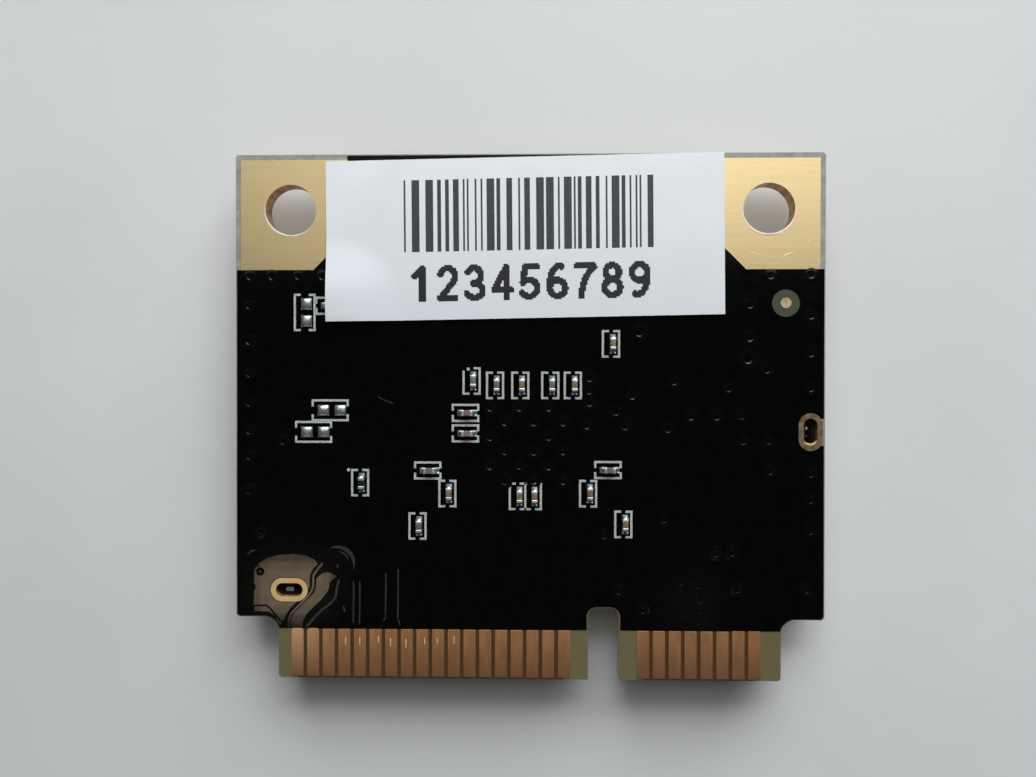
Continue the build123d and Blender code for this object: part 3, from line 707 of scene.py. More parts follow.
def oblong(width: float, length: float, radius: float, steps: int = 4) -> list[Spot]:
    """Rectangle with rounded corners, round zero.

    Args:
        width: Size along X.
        length: Size along Y.
        radius: Corner radius.
        steps: Steps round each corner.

    Returns:
        Its outline, anticlockwise.
    """
    outline = []
    for corner, (side_x, side_y) in enumerate(((1, 1), (-1, 1), (-1, -1), (1, -1))):
        centre_x = side_x * (width / 2 - radius)
        centre_y = side_y * (length / 2 - radius)
        for step in range(steps + 1):
            angle = math.radians(90 * (corner + step / steps))
            outline.append((centre_x + radius * math.cos(angle), centre_y + radius * math.sin(angle)))
    return outline


def circle(radius: float, steps: int = 24) -> list[Spot]:
    """Outline of a circle round zero, anticlockwise."""
    angles = (math.tau * step / steps for step in range(steps))
    return [(radius * math.cos(angle), radius * math.sin(angle)) for angle in angles]


def arc(centre: Spot, radii: Spot, start: float, end: float, steps: int = 12) -> list[Spot]:
    """Points along an arc of an ellipse.

    Args:
        centre: Its centre.
        radii: Radius along X and along Y.
        start: First angle, in degrees.
        end: Last angle, in degrees.
        steps: Steps between them.

    Returns:
        The points.
    """
    points = []
    for step in range(steps + 1):
        angle = math.radians(start + (end - start) * step / steps)
        points.append((centre[0] + radii[0] * math.cos(angle), centre[1] + radii[1] * math.sin(angle)))
    return points


def crescent(centre: Spot, radius: float, thickness: float, heading: float, reach: float) -> list[Spot]:
    """Outline of a crescent that thins out to both ends.

    Args:
        centre: Centre of its outer edge.
        radius: Radius of its outer edge.
        thickness: Thickness in its middle.
        heading: Angle of its middle, in degrees.
        reach: Angle from its middle to each tip, in degrees.

    Returns:
        The outline, anticlockwise.
    """
    steps = max(8, int(reach / 5))
    outer = []
    inner = []
    for step in range(steps + 1):
        share = 2 * step / steps - 1
        angle = math.radians(heading + share * reach)
        near = radius - max(thickness * (1 - share ** 2), 0.003)
        outer.append((centre[0] + radius * math.cos(angle), centre[1] + radius * math.sin(angle)))
        inner.append((centre[0] + near * math.cos(angle), centre[1] + near * math.sin(angle)))
    return outer + inner[::-1]


def moved(outline: list[Spot], x: float, y: float, turn: float = 0.0) -> list[Spot]:
    """Turns an outline round zero and moves it.

    Args:
        outline: The outline.
        x: Way along X.
        y: Way along Y.
        turn: Turn in degrees, anticlockwise.

    Returns:
        The moved outline.
    """
    cosine = math.cos(math.radians(turn))
    sine = math.sin(math.radians(turn))
    return [(x + cosine * a - sine * b, y + sine * a + cosine * b) for a, b in outline]


def strip(route: list[Spot], width: float, end_steps: int = 4) -> list[Spot]:
    """Outline of a strip with round ends along a route.

    Args:
        route: Points of its middle line.
        width: Width of the strip.
        end_steps: Steps round each end.

    Returns:
        The outline.
    """
    sides: list[list[Spot]] = [[], []]
    for index, (x, y) in enumerate(route):
        before = route[max(index - 1, 0)]
        after = route[min(index + 1, len(route) - 1)]
        heading = math.atan2(after[1] - before[1], after[0] - before[0])
        for side, offset in zip(sides, (math.pi / 2, -math.pi / 2)):
            reach = width / 2
            side.append((x + reach * math.cos(heading + offset), y + reach * math.sin(heading + offset)))
    ends = []
    for tip, back in ((route[-1], route[-2]), (route[0], route[1])):
        heading = math.degrees(math.atan2(tip[1] - back[1], tip[0] - back[0]))
        ends.append(arc(tip, (width / 2, width / 2), heading - 90, heading + 90, end_steps))
    return sides[1][:-1] + ends[0] + sides[0][-2:0:-1] + ends[1]


@dataclass
class Shape:
    """Points and faces of one piece.

    Attributes:
        points: Its points.
        faces: Its faces, each as the numbers of its points.
        numbers: Number of each face's finish.
    """

    points: list[Point] = field(default_factory=list)
    faces: list[tuple[int, ...]] = field(default_factory=list)
    numbers: list[int] = field(default_factory=list)

    def skin(self, rings: list[Ring], number: int = 0, looped: bool = False) -> None:
        """Lays a closed skin over a row of rings.

        Args:
            rings: Rings with the same count of points.
            number: Number of the finish.
            looped: True if the last ring joins the first one, and False if both ends are closed.
        """
        start = len(self.points)
        count = len(rings[0])
        for ring in rings:
            self.points.extend(ring)
        last = len(rings) if looped else len(rings) - 1
        for row in range(last):
            near = start + row * count
            far = start + ((row + 1) % len(rings)) * count
            for step in range(count):
                turned = (step + 1) % count
                self.faces.append((near + step, near + turned, far + turned, far + step))
        if not looped:
            self.faces.append(tuple(range(start, start + count)))
            self.faces.append(tuple(range(start + (len(rings) - 1) * count, start + len(rings) * count)))
        self.numbers.extend([number] * (len(self.faces) - len(self.numbers)))

    def block(self, place: Spot, size: Point, low: float, number: int = 0,
              corner: float = 0.05, edge: float = 0.03, turn: float = 0.0) -> None:
        """Adds a block with rounded corners and a rounded upper edge.

        Args:
            place: Its middle in plan.
            size: Width, length and height.
            low: Height of its underside.
            number: Number of the finish.
            corner: Radius of its upright corners.
            edge: Radius of its upper edge.
            turn: Turn in degrees.
        """
        levels = [(0.0, 0.0)]
        for step in range(4):
            angle = math.radians(30 * step)
            levels.append((edge * (1 - math.cos(angle)), size[2] - edge + edge * math.sin(angle)))
        rings = []
        for inset, height in levels:
            radius = max(corner - inset, 0.004)
            outline = oblong(size[0] - 2 * inset, size[1] - 2 * inset, radius, 3)
            rings.append([(x, y, low + height) for x, y in moved(outline, *place, turn)])
        self.skin(rings, number)

    def pillow(self, place: Spot, size: Point, low: float, number: int, corner: float, turn: float,
               draw: random.Random) -> None:
        """Adds a lumpy cushion of solder.

        Args:
            place: Its middle in plan.
            size: Width, length and height.
            low: Height of its underside.
            number: Number of the finish.
            corner: Radius of its upright corners.
            turn: Turn in degrees.
            draw: Source of the lumps.
        """
        steps = 6
        drawn_in = 0.92
        swelling = 0.012
        heaving = 0.02
        phases = [draw.uniform(0, math.tau) for _ in range(3)]
        lift = draw.uniform(-0.1, 0.1)
        rings = []
        for step in range(steps + 1):
            share = step / steps
            inset = min(size[0], size[1]) / 2 * drawn_in * (1 - math.cos(share * math.pi / 2))
            height = size[2] * math.sin(share * math.pi / 2)
            radius = max(corner - inset * 0.4, 0.01)
            outline = oblong(size[0] - 2 * inset, size[1] - 2 * inset, min(radius, size[0] / 2 - inset), 4)
            ring = []
            for index, (x, y) in enumerate(outline):
                angle = math.tau * index / len(outline)
                lump = sum(math.sin((2 + order) * angle + phase) for order, phase in enumerate(phases))
                swell = 1 + swelling * lump * share
                tilt = lift * share * y
                ring.append((x * swell, y * swell, low + height * (1 + heaving * lump * share) + tilt))
            turned = moved([(x, y) for x, y, _ in ring], *place, turn)
            rings.append([(x, y, z) for (x, y), (_, _, z) in zip(turned, ring)])
        self.skin(rings, number)

    def dome(self, place: Spot, radius: float, low: float, height: float, number: int = 0) -> None:
        """Adds a small dome.

        Args:
            place: Its middle in plan.
            radius: Its radius.
            low: Height of its underside.
            height: How high it stands.
            number: Number of the finish.
        """
        rings = []
        for step in range(6):
            slope = math.radians(86 * step / 5)
            outline = moved(circle(radius * math.cos(slope), 12), *place)
            rings.append([(x, y, low + height * math.sin(slope)) for x, y in outline])
        self.skin(rings, number)

    def turned(self, place: Spot, profile: list[Spot], low: float, number: int = 0, steps: int = 20) -> None:
        """Adds a ring turned from a profile.

        Args:
            place: Its middle in plan.
            profile: Radius and height of each point, from the inside out.
            low: Height that the profile stands on.
            number: Number of the finish.
            steps: Steps round it.
        """
        rings = []
        for step in range(steps):
            angle = math.tau * step / steps
            across = (math.cos(angle), math.sin(angle))
            rings.append([(place[0] + r * across[0], place[1] + r * across[1], low + z) for r, z in profile])
        self.skin(rings, number, looped=True)

    def plates(self, outlines: list[list[Spot]], low: float, height: float, edge: float,
               number: int = 0) -> None:
        """Adds flat plates with softened edges; an outline inside another is a hole in it.

        Args:
            outlines: Closed outlines that don't cross.
            low: Height of the underside.
            height: Thickness.
            edge: Width of the softened edge.
            number: Number of the finish.
        """
        curve = bpy.data.curves.new("plate_outlines", "CURVE")
        curve.dimensions = "2D"
        curve.fill_mode = "BOTH"
        curve.bevel_depth = edge * MM
        curve.bevel_resolution = 1
        curve.offset = -edge * MM
        curve.extrude = max(height / 2 - edge, 0.0) * MM
        for outline in outlines:
            spline = curve.splines.new("POLY")
            spline.points.add(len(outline) - 1)
            for point, (x, y) in zip(spline.points, outline):
                point.co = (x * MM, y * MM, 0.0, 1.0)
            spline.use_cyclic_u = True
        carrier = bpy.data.objects.new("plate_outlines", curve)
        mesh = bpy.data.meshes.new_from_object(carrier)
        start = len(self.points)
        middle = low + height / 2
        self.points.extend((v.co.x / MM, v.co.y / MM, middle + v.co.z / MM) for v in mesh.vertices)
        self.faces.extend(tuple(start + index for index in face.vertices) for face in mesh.polygons)
        self.numbers.extend([number] * len(mesh.polygons))
        bpy.data.objects.remove(carrier)
        bpy.data.curves.remove(curve)
        bpy.data.meshes.remove(mesh)

    def make(self, name: str, finishes: list[Finish], replaced: tuple[str, ...] = (),
             soft_angle: float = 40.0) -> None:
        """Turns the shape into a piece of the card.

        Args:
            name: Name of the piece.
            finishes: Its finishes, in the order of their numbers.
            replaced: Solids that it stands for.
            soft_angle: Bends below this angle are shaded smooth, in degrees.
        """
        mesh = bpy.data.meshes.new(name)
        mesh.from_pydata([(x * MM, y * MM, z * MM) for x, y, z in self.points], [], self.faces)
        mesh.polygons.foreach_set("material_index", self.numbers)
        work = bmesh.new()
        work.from_mesh(mesh)
        bmesh.ops.remove_doubles(work, verts=work.verts, dist=1e-7)
        bmesh.ops.recalc_face_normals(work, faces=work.faces)
        work.to_mesh(mesh)
        work.free()
        for finish in finishes:
            mesh.materials.append(material_of(finish))
        mesh.polygons.foreach_set("use_smooth", [True] * len(mesh.polygons))
        mesh.set_sharp_from_angle(angle=math.radians(soft_angle))
        piece = bpy.data.objects.new(name, mesh)
        bpy.context.scene.collection.objects.link(piece)
        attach(piece, CARD)
        if replaced:
            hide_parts(*replaced)
        LOG.info("%s: %d faces", name, len(mesh.polygons))


def dress(finish: Finish, *names: str, walls: Finish | None = None) -> None:
    """Gives solids that stay a finish.

    Args:
        finish: The finish.
        names: The solids.
        walls: Finish of their upright faces, where it differs.
    """
    for name in names:
        mesh = NODES[name].data
        mesh.materials.clear()
        mesh.materials.append(material_of(finish))
        if walls is not None:
            mesh.materials.append(material_of(walls))
        upright = [walls is not None and abs(face.normal.z) < 0.5 for face in mesh.polygons]
        mesh.polygons.foreach_set("material_index", [int(wall) for wall in upright])
        LOG.info("%s: %s", name, finish.title)


# Sub-assemblies


@dataclass
class Board:
    """Laminate, mask and plating, with the copper that shows through the mask.

    Attributes:
        via_profile: Radius and height of the mask round a covered via, from the dent out.
        open_profile: The same for an open via.
        via_shift: How far a via's middle lies above the glint in its dent.
        via_sizes: Smallest and largest size of a via's dent.
        via_lifts: Smallest and largest height of its rim.
        wide_via: Place of the one wide via.
        wide_growth: How much wider and higher it is.
        outer_grid: First place and pitch of the wider grid of heat vias.
        inner_grid: First place and pitch of the grid inside it.
        missing_via: Number of the one that the grids leave out.
        mask_gap: Way from the left slot's plating to the copper round it.
        copper_height: Height of the copper under the mask.
        copper_sunk: Share of that height that lies in the mask.
        copper_edge: Width of the softened copper edge.
        guard_width: Width of the guard track round the pour.
        lip_offset: Way from the right slot's middle to the centre of its lip, a painted highlight of the lit
            wall.
        lip_radius: Radius of the lip, which lies inside the lower end of the slot.
        lip_width: Width of the lip.
        lip_below: How far its underside lies below the plating's face.
        lip_height: Thickness of the lip.
        drops_sunk: How far the drops sit in the leg's solder.
        scratch_height: Thickness of a scratch's bright edge.
        scratch_proud: How far it stands out of the mask.
        drops: Place, radius, height and finish of each drop of solder in that slot; the first two finishes
            paint a highlight, the third paints shade.
    """

    via_profile: tuple[Spot, ...] = (
        (0.09, -0.012), (0.125, 0.0), (0.145, 0.010), (0.165, 0.018), (0.178, 0.0195), (0.26, 0.017),
        (0.38, 0.0135), (0.39, -0.012),
    )
    open_profile: tuple[Spot, ...] = ((0.03, 0.0), (0.05, 0.012), (0.2, 0.016), (0.24, 0.0))
    via_shift: float = 0.14
    via_sizes: Spot = (0.85, 1.1)
    via_lifts: Spot = (0.85, 1.12)
    wide_via: Spot = (11.06, 2.92)
    wide_growth: Spot = (1.35, 1.4)
    outer_grid: tuple[Spot, Spot] = ((-1.95, 0.31), (1.495, 1.485))
    inner_grid: tuple[Spot, Spot] = ((-1.2, -0.43), (1.478, 1.49))
    missing_via: int = 4
    mask_gap: float = 0.03
    copper_height: float = 0.014
    copper_sunk: float = 0.4
    copper_edge: float = 0.004
    guard_width: float = 0.11
    lip_offset: Spot = (-0.01, -0.35)
    lip_radius: float = 0.33
    lip_width: float = 0.1
    lip_below: float = 0.05
    lip_height: float = 0.02
    drops_sunk: float = 0.01
    scratch_height: float = 0.006
    scratch_proud: float = 0.004
    drops: tuple[tuple[float, float, float, float, int], ...] = (
        (-0.13, 0.14, 0.065, 0.18, 1), (-0.14, 0.22, 0.045, 0.2, 1), (-0.13, -0.24, 0.075, 0.14, 2),
    )

    def dress_solids(self) -> None:
        """Gives the board's own solids their finishes."""
        dress(LAMINATE_FACE, "board_laminate", walls=LAMINATE_EDGE)
        dress(MASK, "solder_mask_back", "solder_mask_front")
        dress(PAD_GOLD, "left_corner_plating", "right_corner_plating", walls=HOLE_COPPER)
        dress(RIM_GOLD, "left_slot_plating", walls=HOLE_COPPER)
        # Painted shade on the right slot's gold.
        dress(SHADED_RIM_GOLD, "right_slot_plating", walls=HOLE_COPPER)
        dress(TARGET_GOLD, "fiducial_target")
        dress(LAND_GOLD, "part_lands_front", "shield_ground_land")
        dress(SOLDER, "part_lands_back", "bare_lands_back", "tinned_lands_front")
        dress(CONTACT, "edge_contacts_front")

    def grid_vias(self) -> list[Spot]:
        """Heat vias under the radio chip, in two staggered grids.

        Returns:
            Their middles.
        """
        vias = []
        for (left, top), (pitch_x, pitch_y) in (self.outer_grid, self.inner_grid):
            vias += [(left + pitch_x * i, top - pitch_y * j) for i in range(3) for j in range(3)]
        del vias[self.missing_via]
        return vias

    def edge_vias(self) -> list[Spot]:
        """Ground vias along the shield's walls.

        Returns:
            Their middles.
        """
        left = [(-14.25, y) for y in (5.49, 3.70, 2.02, 0.52, -0.89, -2.18, -3.94)]
        right = [(14.2, y) for y in (7.01, 4.96, 3.05, 1.29, -2.99, -4.33, -5.86)]
        top = [(x, 6.98) for x in (-14.2, -13.07, -11.73, -10.5, 12.19)]
        return left + right + top

    def loose_vias(self) -> list[Spot]:
        """Signal vias, as they lie across the board.

        Returns:
            Their middles.
        """
        upper = [(3.09, 1.81), (3.09, 1.16), (3.09, 0.57), (2.97, -0.59), (11.15, 5.51), (11.15, 3.85),
                 (12.01, 2.24), (7.35, 1.63), (10.08, 1.28), (5.25, 0.92), (5.58, 4.10), (4.43, 0.11)]
        middle = [(4.88, -0.61), (8.20, -0.12), (9.49, -0.12), (10.75, -0.09), (7.05, -0.76),
                  (10.83, -1.36), (12.08, -1.35), (12.17, -2.86), (6.89, -5.33), (-12.49, -1.41)]
        lower = [(5.81, -9.93), (4.60, -8.97), (10.58, -8.85), (-13.70, -6.01), (10.29, -6.99),
                 (9.47, -7.04), (3.86, -6.15), (14.01, -8.84)]
        return upper + middle + lower

    def open_vias(self) -> list[Spot]:
        """Vias that show as dark discs in the lit mask."""
        return [(-13.69, -7.92), (-14.14, -8.72), (7.75, -8.71), (8.57, -8.87), (8.65, -9.62)]

    def build_vias(self) -> None:
        """Dented mask over the covered vias, and the rims of the open ones."""
        shape = Shape()
        draw = random.Random(17)
        for x, y in self.grid_vias() + self.edge_vias() + self.loose_vias():
            size = draw.uniform(*self.via_sizes)
            lift = size * draw.uniform(*self.via_lifts)
            profile = [(size * radius, lift * height) for radius, height in self.via_profile]
            shape.turned((x, y + self.via_shift), profile, BACK_FACE, steps=24)
        for x, y in self.open_vias():
            shape.turned((x, y), list(self.open_profile), BACK_FACE, steps=20)
        wider, higher = self.wide_growth
        wide = [(wider * radius, higher * height) for radius, height in self.via_profile]
        shape.turned(self.wide_via, wide, BACK_FACE, steps=28)
        shape.make("covered_vias", [VIA_MASK])

    def slot_notch(self) -> list[Spot]:
        """Edge of the copper pour round the left slot, open to the lower right.

        Returns:
            Its points, anticlockwise.
        """
        low = low_corner("left_slot_plating")
        high = high_corner("left_slot_plating")
        wide = high[0] - low[0] + 2 * self.mask_gap
        long = high[1] - low[1] + 2 * self.mask_gap
        steps = 8
        opening = oblong(wide, long, long / 2 - 0.001, steps)
        return moved(opening[:-steps], *middle_of("left_slot_plating"))

    def lit_copper(self) -> list[list[Spot]]:
        """Outlines of the copper round the left slot: pour, board edge, guard and wide track.

        Returns:
            The four outlines, none across another.
        """
        pour = [(-10.73, -7.52), (-10.96, -7.75), (-11.11, -8.02), (-11.15, -8.28), (-11.15, -8.67)]
        pour += self.slot_notch()
        pour += [(-12.18, -9.82), (-12.38, -10.15), (-12.5, -10.42), (-12.65, -10.37), (-12.93, -10.03),
                 (-13.19, -9.72), (-13.39, -9.6), (-14.03, -9.6), (-14.0, -8.95), (-14.0, -8.43),
                 (-14.0, -7.92), (-13.78, -7.52), (-13.35, -7.22), (-12.7, -7.06), (-11.95, -7.02),
                 (-11.3, -7.12), (-10.84, -7.34)]
        edge = [(-13.98, -9.7), (-13.42, -9.7), (-13.24, -9.8), (-12.98, -10.14), (-12.74, -10.42),
                (-12.56, -10.56), (-12.66, -10.64), (-12.78, -10.52), (-12.93, -10.2), (-13.24, -9.96),
                (-13.98, -9.94)]
        guard = [(-10.5, -7.5), (-10.76, -7.8), (-10.96, -8.12), (-10.97, -8.66), (-11.03, -8.85),
                 (-11.17, -9.07), (-11.375, -9.32), (-11.6, -9.54), (-11.86, -9.8), (-12.07, -10.03),
                 (-12.21, -10.3), (-12.25, -10.74)]
        left = [(-10.14, -7.95), (-10.5, -7.98), (-10.8, -8.24), (-10.84, -8.7), (-10.93, -8.98),
                (-11.24, -9.32), (-11.62, -9.7), (-11.93, -10.02), (-12.1, -10.27), (-12.14, -10.72)]
        right = [(-11.5, -10.72), (-11.52, -10.5), (-11.33, -10.11), (-10.93, -9.68), (-10.54, -9.32),
                 (-10.28, -8.99), (-10.15, -8.73), (-10.13, -8.47), (-9.79, -8.14)]
        return [pour[::-1], edge, strip(guard, self.guard_width, 2), left + right]

    def painted_glint_outlines(self) -> list[list[Spot]]:
        """Outlines of the narrow tracks beside it and of crescents on the round pad's edge and by the pour,
        all painted grey as highlights that stand for glints.

        Returns:
            The outlines.
        """
        contour = [(-9.64, -8.33), (-9.74, -8.66), (-9.82, -9.18), (-10.02, -9.48), (-10.5, -9.84),
                   (-10.84, -10.17), (-11.16, -10.56), (-11.32, -10.72)]
        tracks = [(contour, 0.12, 2)]
        for x, top, foot in ((-8.9, -8.39, -10.5), (-8.58, -8.42, -10.55), (-7.25, -7.99, -10.1),
                             (-6.62, -7.8, -10.2)):
            tracks.append(([(x, top), (x, (top + foot) / 2), (x - 0.02, foot)], 0.075, 2))
        tracks += [
            ([(-7.25, -10.2), (-7.37, -10.42)], 0.07, 2),
            ([(-6.62, -10.3), (-6.54, -10.59)], 0.06, 2),
            ([(-9.42, -9.7), (-9.39, -9.82), (-9.36, -9.93)], 0.09, 3),
            ([(-9.74, -7.57), (-9.7, -7.66)], 0.1, 3),
        ]
        round_pad = (-9.66, -7.42)
        # Painted highlights: crescents of glint on rounded copper edges.
        bows = [
            (round_pad, 0.84, 0.2, 48, 78), (round_pad, 0.55, 0.08, 50, 42),
            ((-13.69, -7.92), 0.34, 0.07, 128, 48), ((-13.98, -7.2), 0.4, 0.09, 118, 50),
        ]
        return [strip(*track) for track in tracks] + [crescent(*bow) for bow in bows]

    def build_copper(self) -> None:
        """Copper that stands out under the mask by the left slot, and tracks and crescents painted grey as
        highlights.
        """
        low = BACK_FACE - self.copper_sunk * self.copper_height
        lit = Shape()
        for outline in self.lit_copper():
            lit.plates([outline], low, self.copper_height, self.copper_edge)
        lit.make("covered_copper", [COVERED_COPPER], soft_angle=CRISP_BEND)
        # Painted highlight: grey tracks and crescents stand for glints.
        faint = Shape()
        faint.plates(self.painted_glint_outlines(), low, self.copper_height, self.copper_edge)
        faint.make("covered_tracks_painted_glint", [PAINTED_GLINT_AND_SCRATCH], soft_angle=CRISP_BEND)

    def build_slot_glints(self) -> None:
        """Painted highlight of a lit lip inside the right slot, and drops of solder there: two with a
        painted highlight, one with painted shade.
        """
        x, y = middle_of("right_slot_plating")
        lip_low = high_corner("right_slot_plating")[2] - self.lip_below
        solder_top = high_corner("leg_solder")[2] - self.drops_sunk
        centre = (x + self.lip_offset[0], y + self.lip_offset[1])
        # Painted highlight: a crescent of light on the slot's lit wall.
        lip = crescent(centre, self.lip_radius, self.lip_width, -88, 78)
        shape = Shape()
        shape.plates([lip], lip_low, self.lip_height, self.copper_edge)
        for away_x, away_y, radius, height, number in self.drops:
            shape.dome((x + away_x, y + away_y), radius, solder_top, height, number)
        shape.make("right_slot_painted_glints", [LIT_LIP, GLINT_TIN, SHADED_SOLDER])

    def build_scratches(self) -> None:
        """Fine scratches in the mask."""
        shape = Shape()
        scratches = [
            strip([(-7.65, 1.01), (-7.3, 0.84), (-6.86, 0.68)], 0.045),
            strip([(-0.75, -2.63), (-0.62, -2.72), (-0.52, -2.79)], 0.04),
        ]
        low = BACK_FACE + self.scratch_proud - self.scratch_height
        shape.plates(scratches, low, self.scratch_height, self.scratch_height / 3)
        shape.make("mask_scratches", [PAINTED_GLINT_AND_SCRATCH])

    def build(self) -> None:
        """Dresses the solids and builds the relief."""
        self.dress_solids()
        self.build_vias()
        self.build_copper()
        self.build_slot_glints()
        self.build_scratches()


@dataclass
class CornerPads:
    """Rims of the screw holes, painted as highlights, and screw marks on the gold corners.

    Attributes:
        rim_inside: Radius of a rim's inner edge, which lips over the screw hole.
        hole_spacing: Way between both holes.
        hole_below_top: Way from the board's top edge to the holes.
        rim_width: Width of the painted highlight on the rim of a hole.
        rim_height: Thickness of the rim.
        mark_height: Thickness of a mark.
        rim_arcs: Side of each rim, heading of its middle and reach to its tips, in degrees.
        mark_arcs: Side, radius, width, heading and reach of each mark of a screw head.
    """

    rim_inside: float = 1.25
    hole_spacing: float = 24.2
    hole_below_top: float = 2.82
    rim_width: float = 0.11
    rim_height: float = 0.012
    mark_height: float = 0.014
    rim_arcs: tuple[Point, ...] = ((-1, -116, 82), (1, -88, 100))
    mark_arcs: tuple[tuple[float, float, float, float, float], ...] = (
        (1, 2.4, 0.045, 252, 15), (1, 2.52, 0.08, 292, 7), (1, 2.6, 0.05, 320, 3),
        (-1, 2.42, 0.06, 106, 3),
    )

    def build(self) -> None:
        """Builds the rims with their painted highlight, and the marks."""
        top = high_corner("left_corner_plating")[2]
        y = high_corner("board_laminate")[1] - self.hole_below_top
        rims = Shape()
        marks = Shape()
        for side, heading, reach in self.rim_arcs:
            centre = (side * self.hole_spacing / 2, y)
            rim = crescent(centre, self.rim_inside + self.rim_width, self.rim_width, heading, reach)
            rims.plates([rim], top - self.rim_height / 2, self.rim_height, self.rim_height / 4)
        for side, radius, width, heading, reach in self.mark_arcs:
            mark = crescent((side * self.hole_spacing / 2, y), radius, width, heading, reach)
            marks.plates([mark], top - 0.004, self.mark_height, self.mark_height / 7)
        rims.make("painted_screw_hole_rim_glints", [HOLE_RIM_HIGHLIGHT])
        marks.make("screw_head_marks", [SCREW_MARK])


@dataclass
class EdgeContacts:
    """Contacts on the back of the connector tongue.

    Attributes:
        pitch: Way from one contact to the next.
        width: Width of a contact.
        spread: Width of a contact with its rounded sides.
        left_count: Contacts left of the key notch.
        right_count: Contacts right of it.
        edge: Width of the softened edge.
        round_count: Contacts with round upper corners, from the left.
        tall_from: First of the right-hand contacts that reach as high as the round ones.
        step_down: How much lower the others end.
        round_corner: Radius of a round corner.
        square_corner: Radius of the other corners.
        lipped: Contacts with a painted highlight as a thin lip along their upper end.
        lip_reach: Half the length of a lip.
        lip_width: Width of a lip.
        lip_below: How far its middle lies below the contact's upper end.
        lip_height: Thickness of a lip.
        rubbed: Contacts that all show a probe's mark.
        rubbed_share: Share of the others that show one.
        mark_places: Range of a mark's way off the contact's middle.
        mark_starts: Range of its way down from the upper end.
        mark_lengths: Range of its length.
        mark_width: Width of a mark.
        mark_height: Thickness of a mark.
        marks_sunk: How far lips and marks sit in the gold.
    """

    pitch: float = 0.8
    width: float = 0.6
    spread: float = 0.615
    left_count: int = 18
    right_count: int = 8
    edge: float = 0.004
    round_count: int = 2
    tall_from: int = 24
    step_down: float = 0.04
    round_corner: float = 0.16
    square_corner: float = 0.03
    lipped: range = range(7, 24)
    lip_reach: float = 0.27
    lip_width: float = 0.026
    lip_below: float = 0.014
    lip_height: float = 0.014
    rubbed: range = range(3, 10)
    rubbed_share: float = 0.2
    mark_places: Spot = (-0.05, 0.2)
    mark_starts: Spot = (0.35, 0.5)
    mark_lengths: Spot = (0.25, 0.45)
    mark_width: float = 0.05
    mark_height: float = 0.018
    marks_sunk: float = 0.006

    def places(self) -> list[float]:
        """Middle of each contact along X.

        Returns:
            The places, from left to right.
        """
        first = low_corner("edge_contacts_back")[0] + self.width / 2
        last = high_corner("edge_contacts_back")[0] - self.width / 2
        left = [first + i * self.pitch for i in range(self.left_count)]
        right = [last - i * self.pitch for i in range(self.right_count)]
        return left + right[::-1]

    def top(self) -> float:
        """Upper end of the contacts along Y."""
        return high_corner("edge_contacts_back")[1]

    def finger(self, x: float, top: float, radius: float) -> list[Spot]:
        """Outline of one contact.

        Args:
            x: Its middle.
            top: Its upper end.
            radius: Radius of its upper corners.

        Returns:
            The outline, anticlockwise.
        """
        foot = low_corner("edge_contacts_back")[1]
        half = min(self.spread / 2, x - self.width / 2 - low_corner("board_laminate")[0])
        right = arc((x + half - radius, top - radius), (radius, radius), 0, 90, 4)
        left = arc((x - half + radius, top - radius), (radius, radius), 90, 180, 4)
        return [(x - half, foot), (x + half, foot)] + right + left

    def build(self) -> None:
        """Builds the contacts, the marks that probes left on them, and the painted highlights along their
        upper ends.
        """
        low = low_corner("edge_contacts_back")
        high = high_corner("edge_contacts_back")
        draw = random.Random(11)
        fingers = Shape()
        marks = Shape()
        outlines = []
        ticks = []
        for number, x in enumerate(self.places()):
            round_top = number < self.round_count
            top = high[1] if round_top or number >= self.tall_from else high[1] - self.step_down
            outlines.append(self.finger(x, top, self.round_corner if round_top else self.square_corner))
            if number in self.lipped:
                # Painted highlight along the contact's upper edge.
                y = top - self.lip_below
                lip = strip([(x - self.lip_reach, y), (x + self.lip_reach, y)], self.lip_width, 2)
                marks.plates([lip], high[2] - self.marks_sunk, self.lip_height, 0.003, 1)
            if number in self.rubbed or draw.random() < self.rubbed_share:
                across = x + draw.uniform(*self.mark_places)
                start = top - draw.uniform(*self.mark_starts)
                end = start - draw.uniform(*self.mark_lengths)
                ticks.append(strip([(across, start), (across, end)], self.mark_width, 2))
        fingers.plates(outlines, low[2], high[2] - low[2], self.edge)
        for tick in ticks:
            marks.plates([tick], high[2] - self.marks_sunk, self.mark_height, self.edge)
        fingers.make("back_contacts", [CONTACT], ("edge_contacts_back",), CRISP_BEND)
        marks.make("probe_marks_and_edge_highlights", [PROBE_MARK, CONTACT_EDGE_HIGHLIGHT])


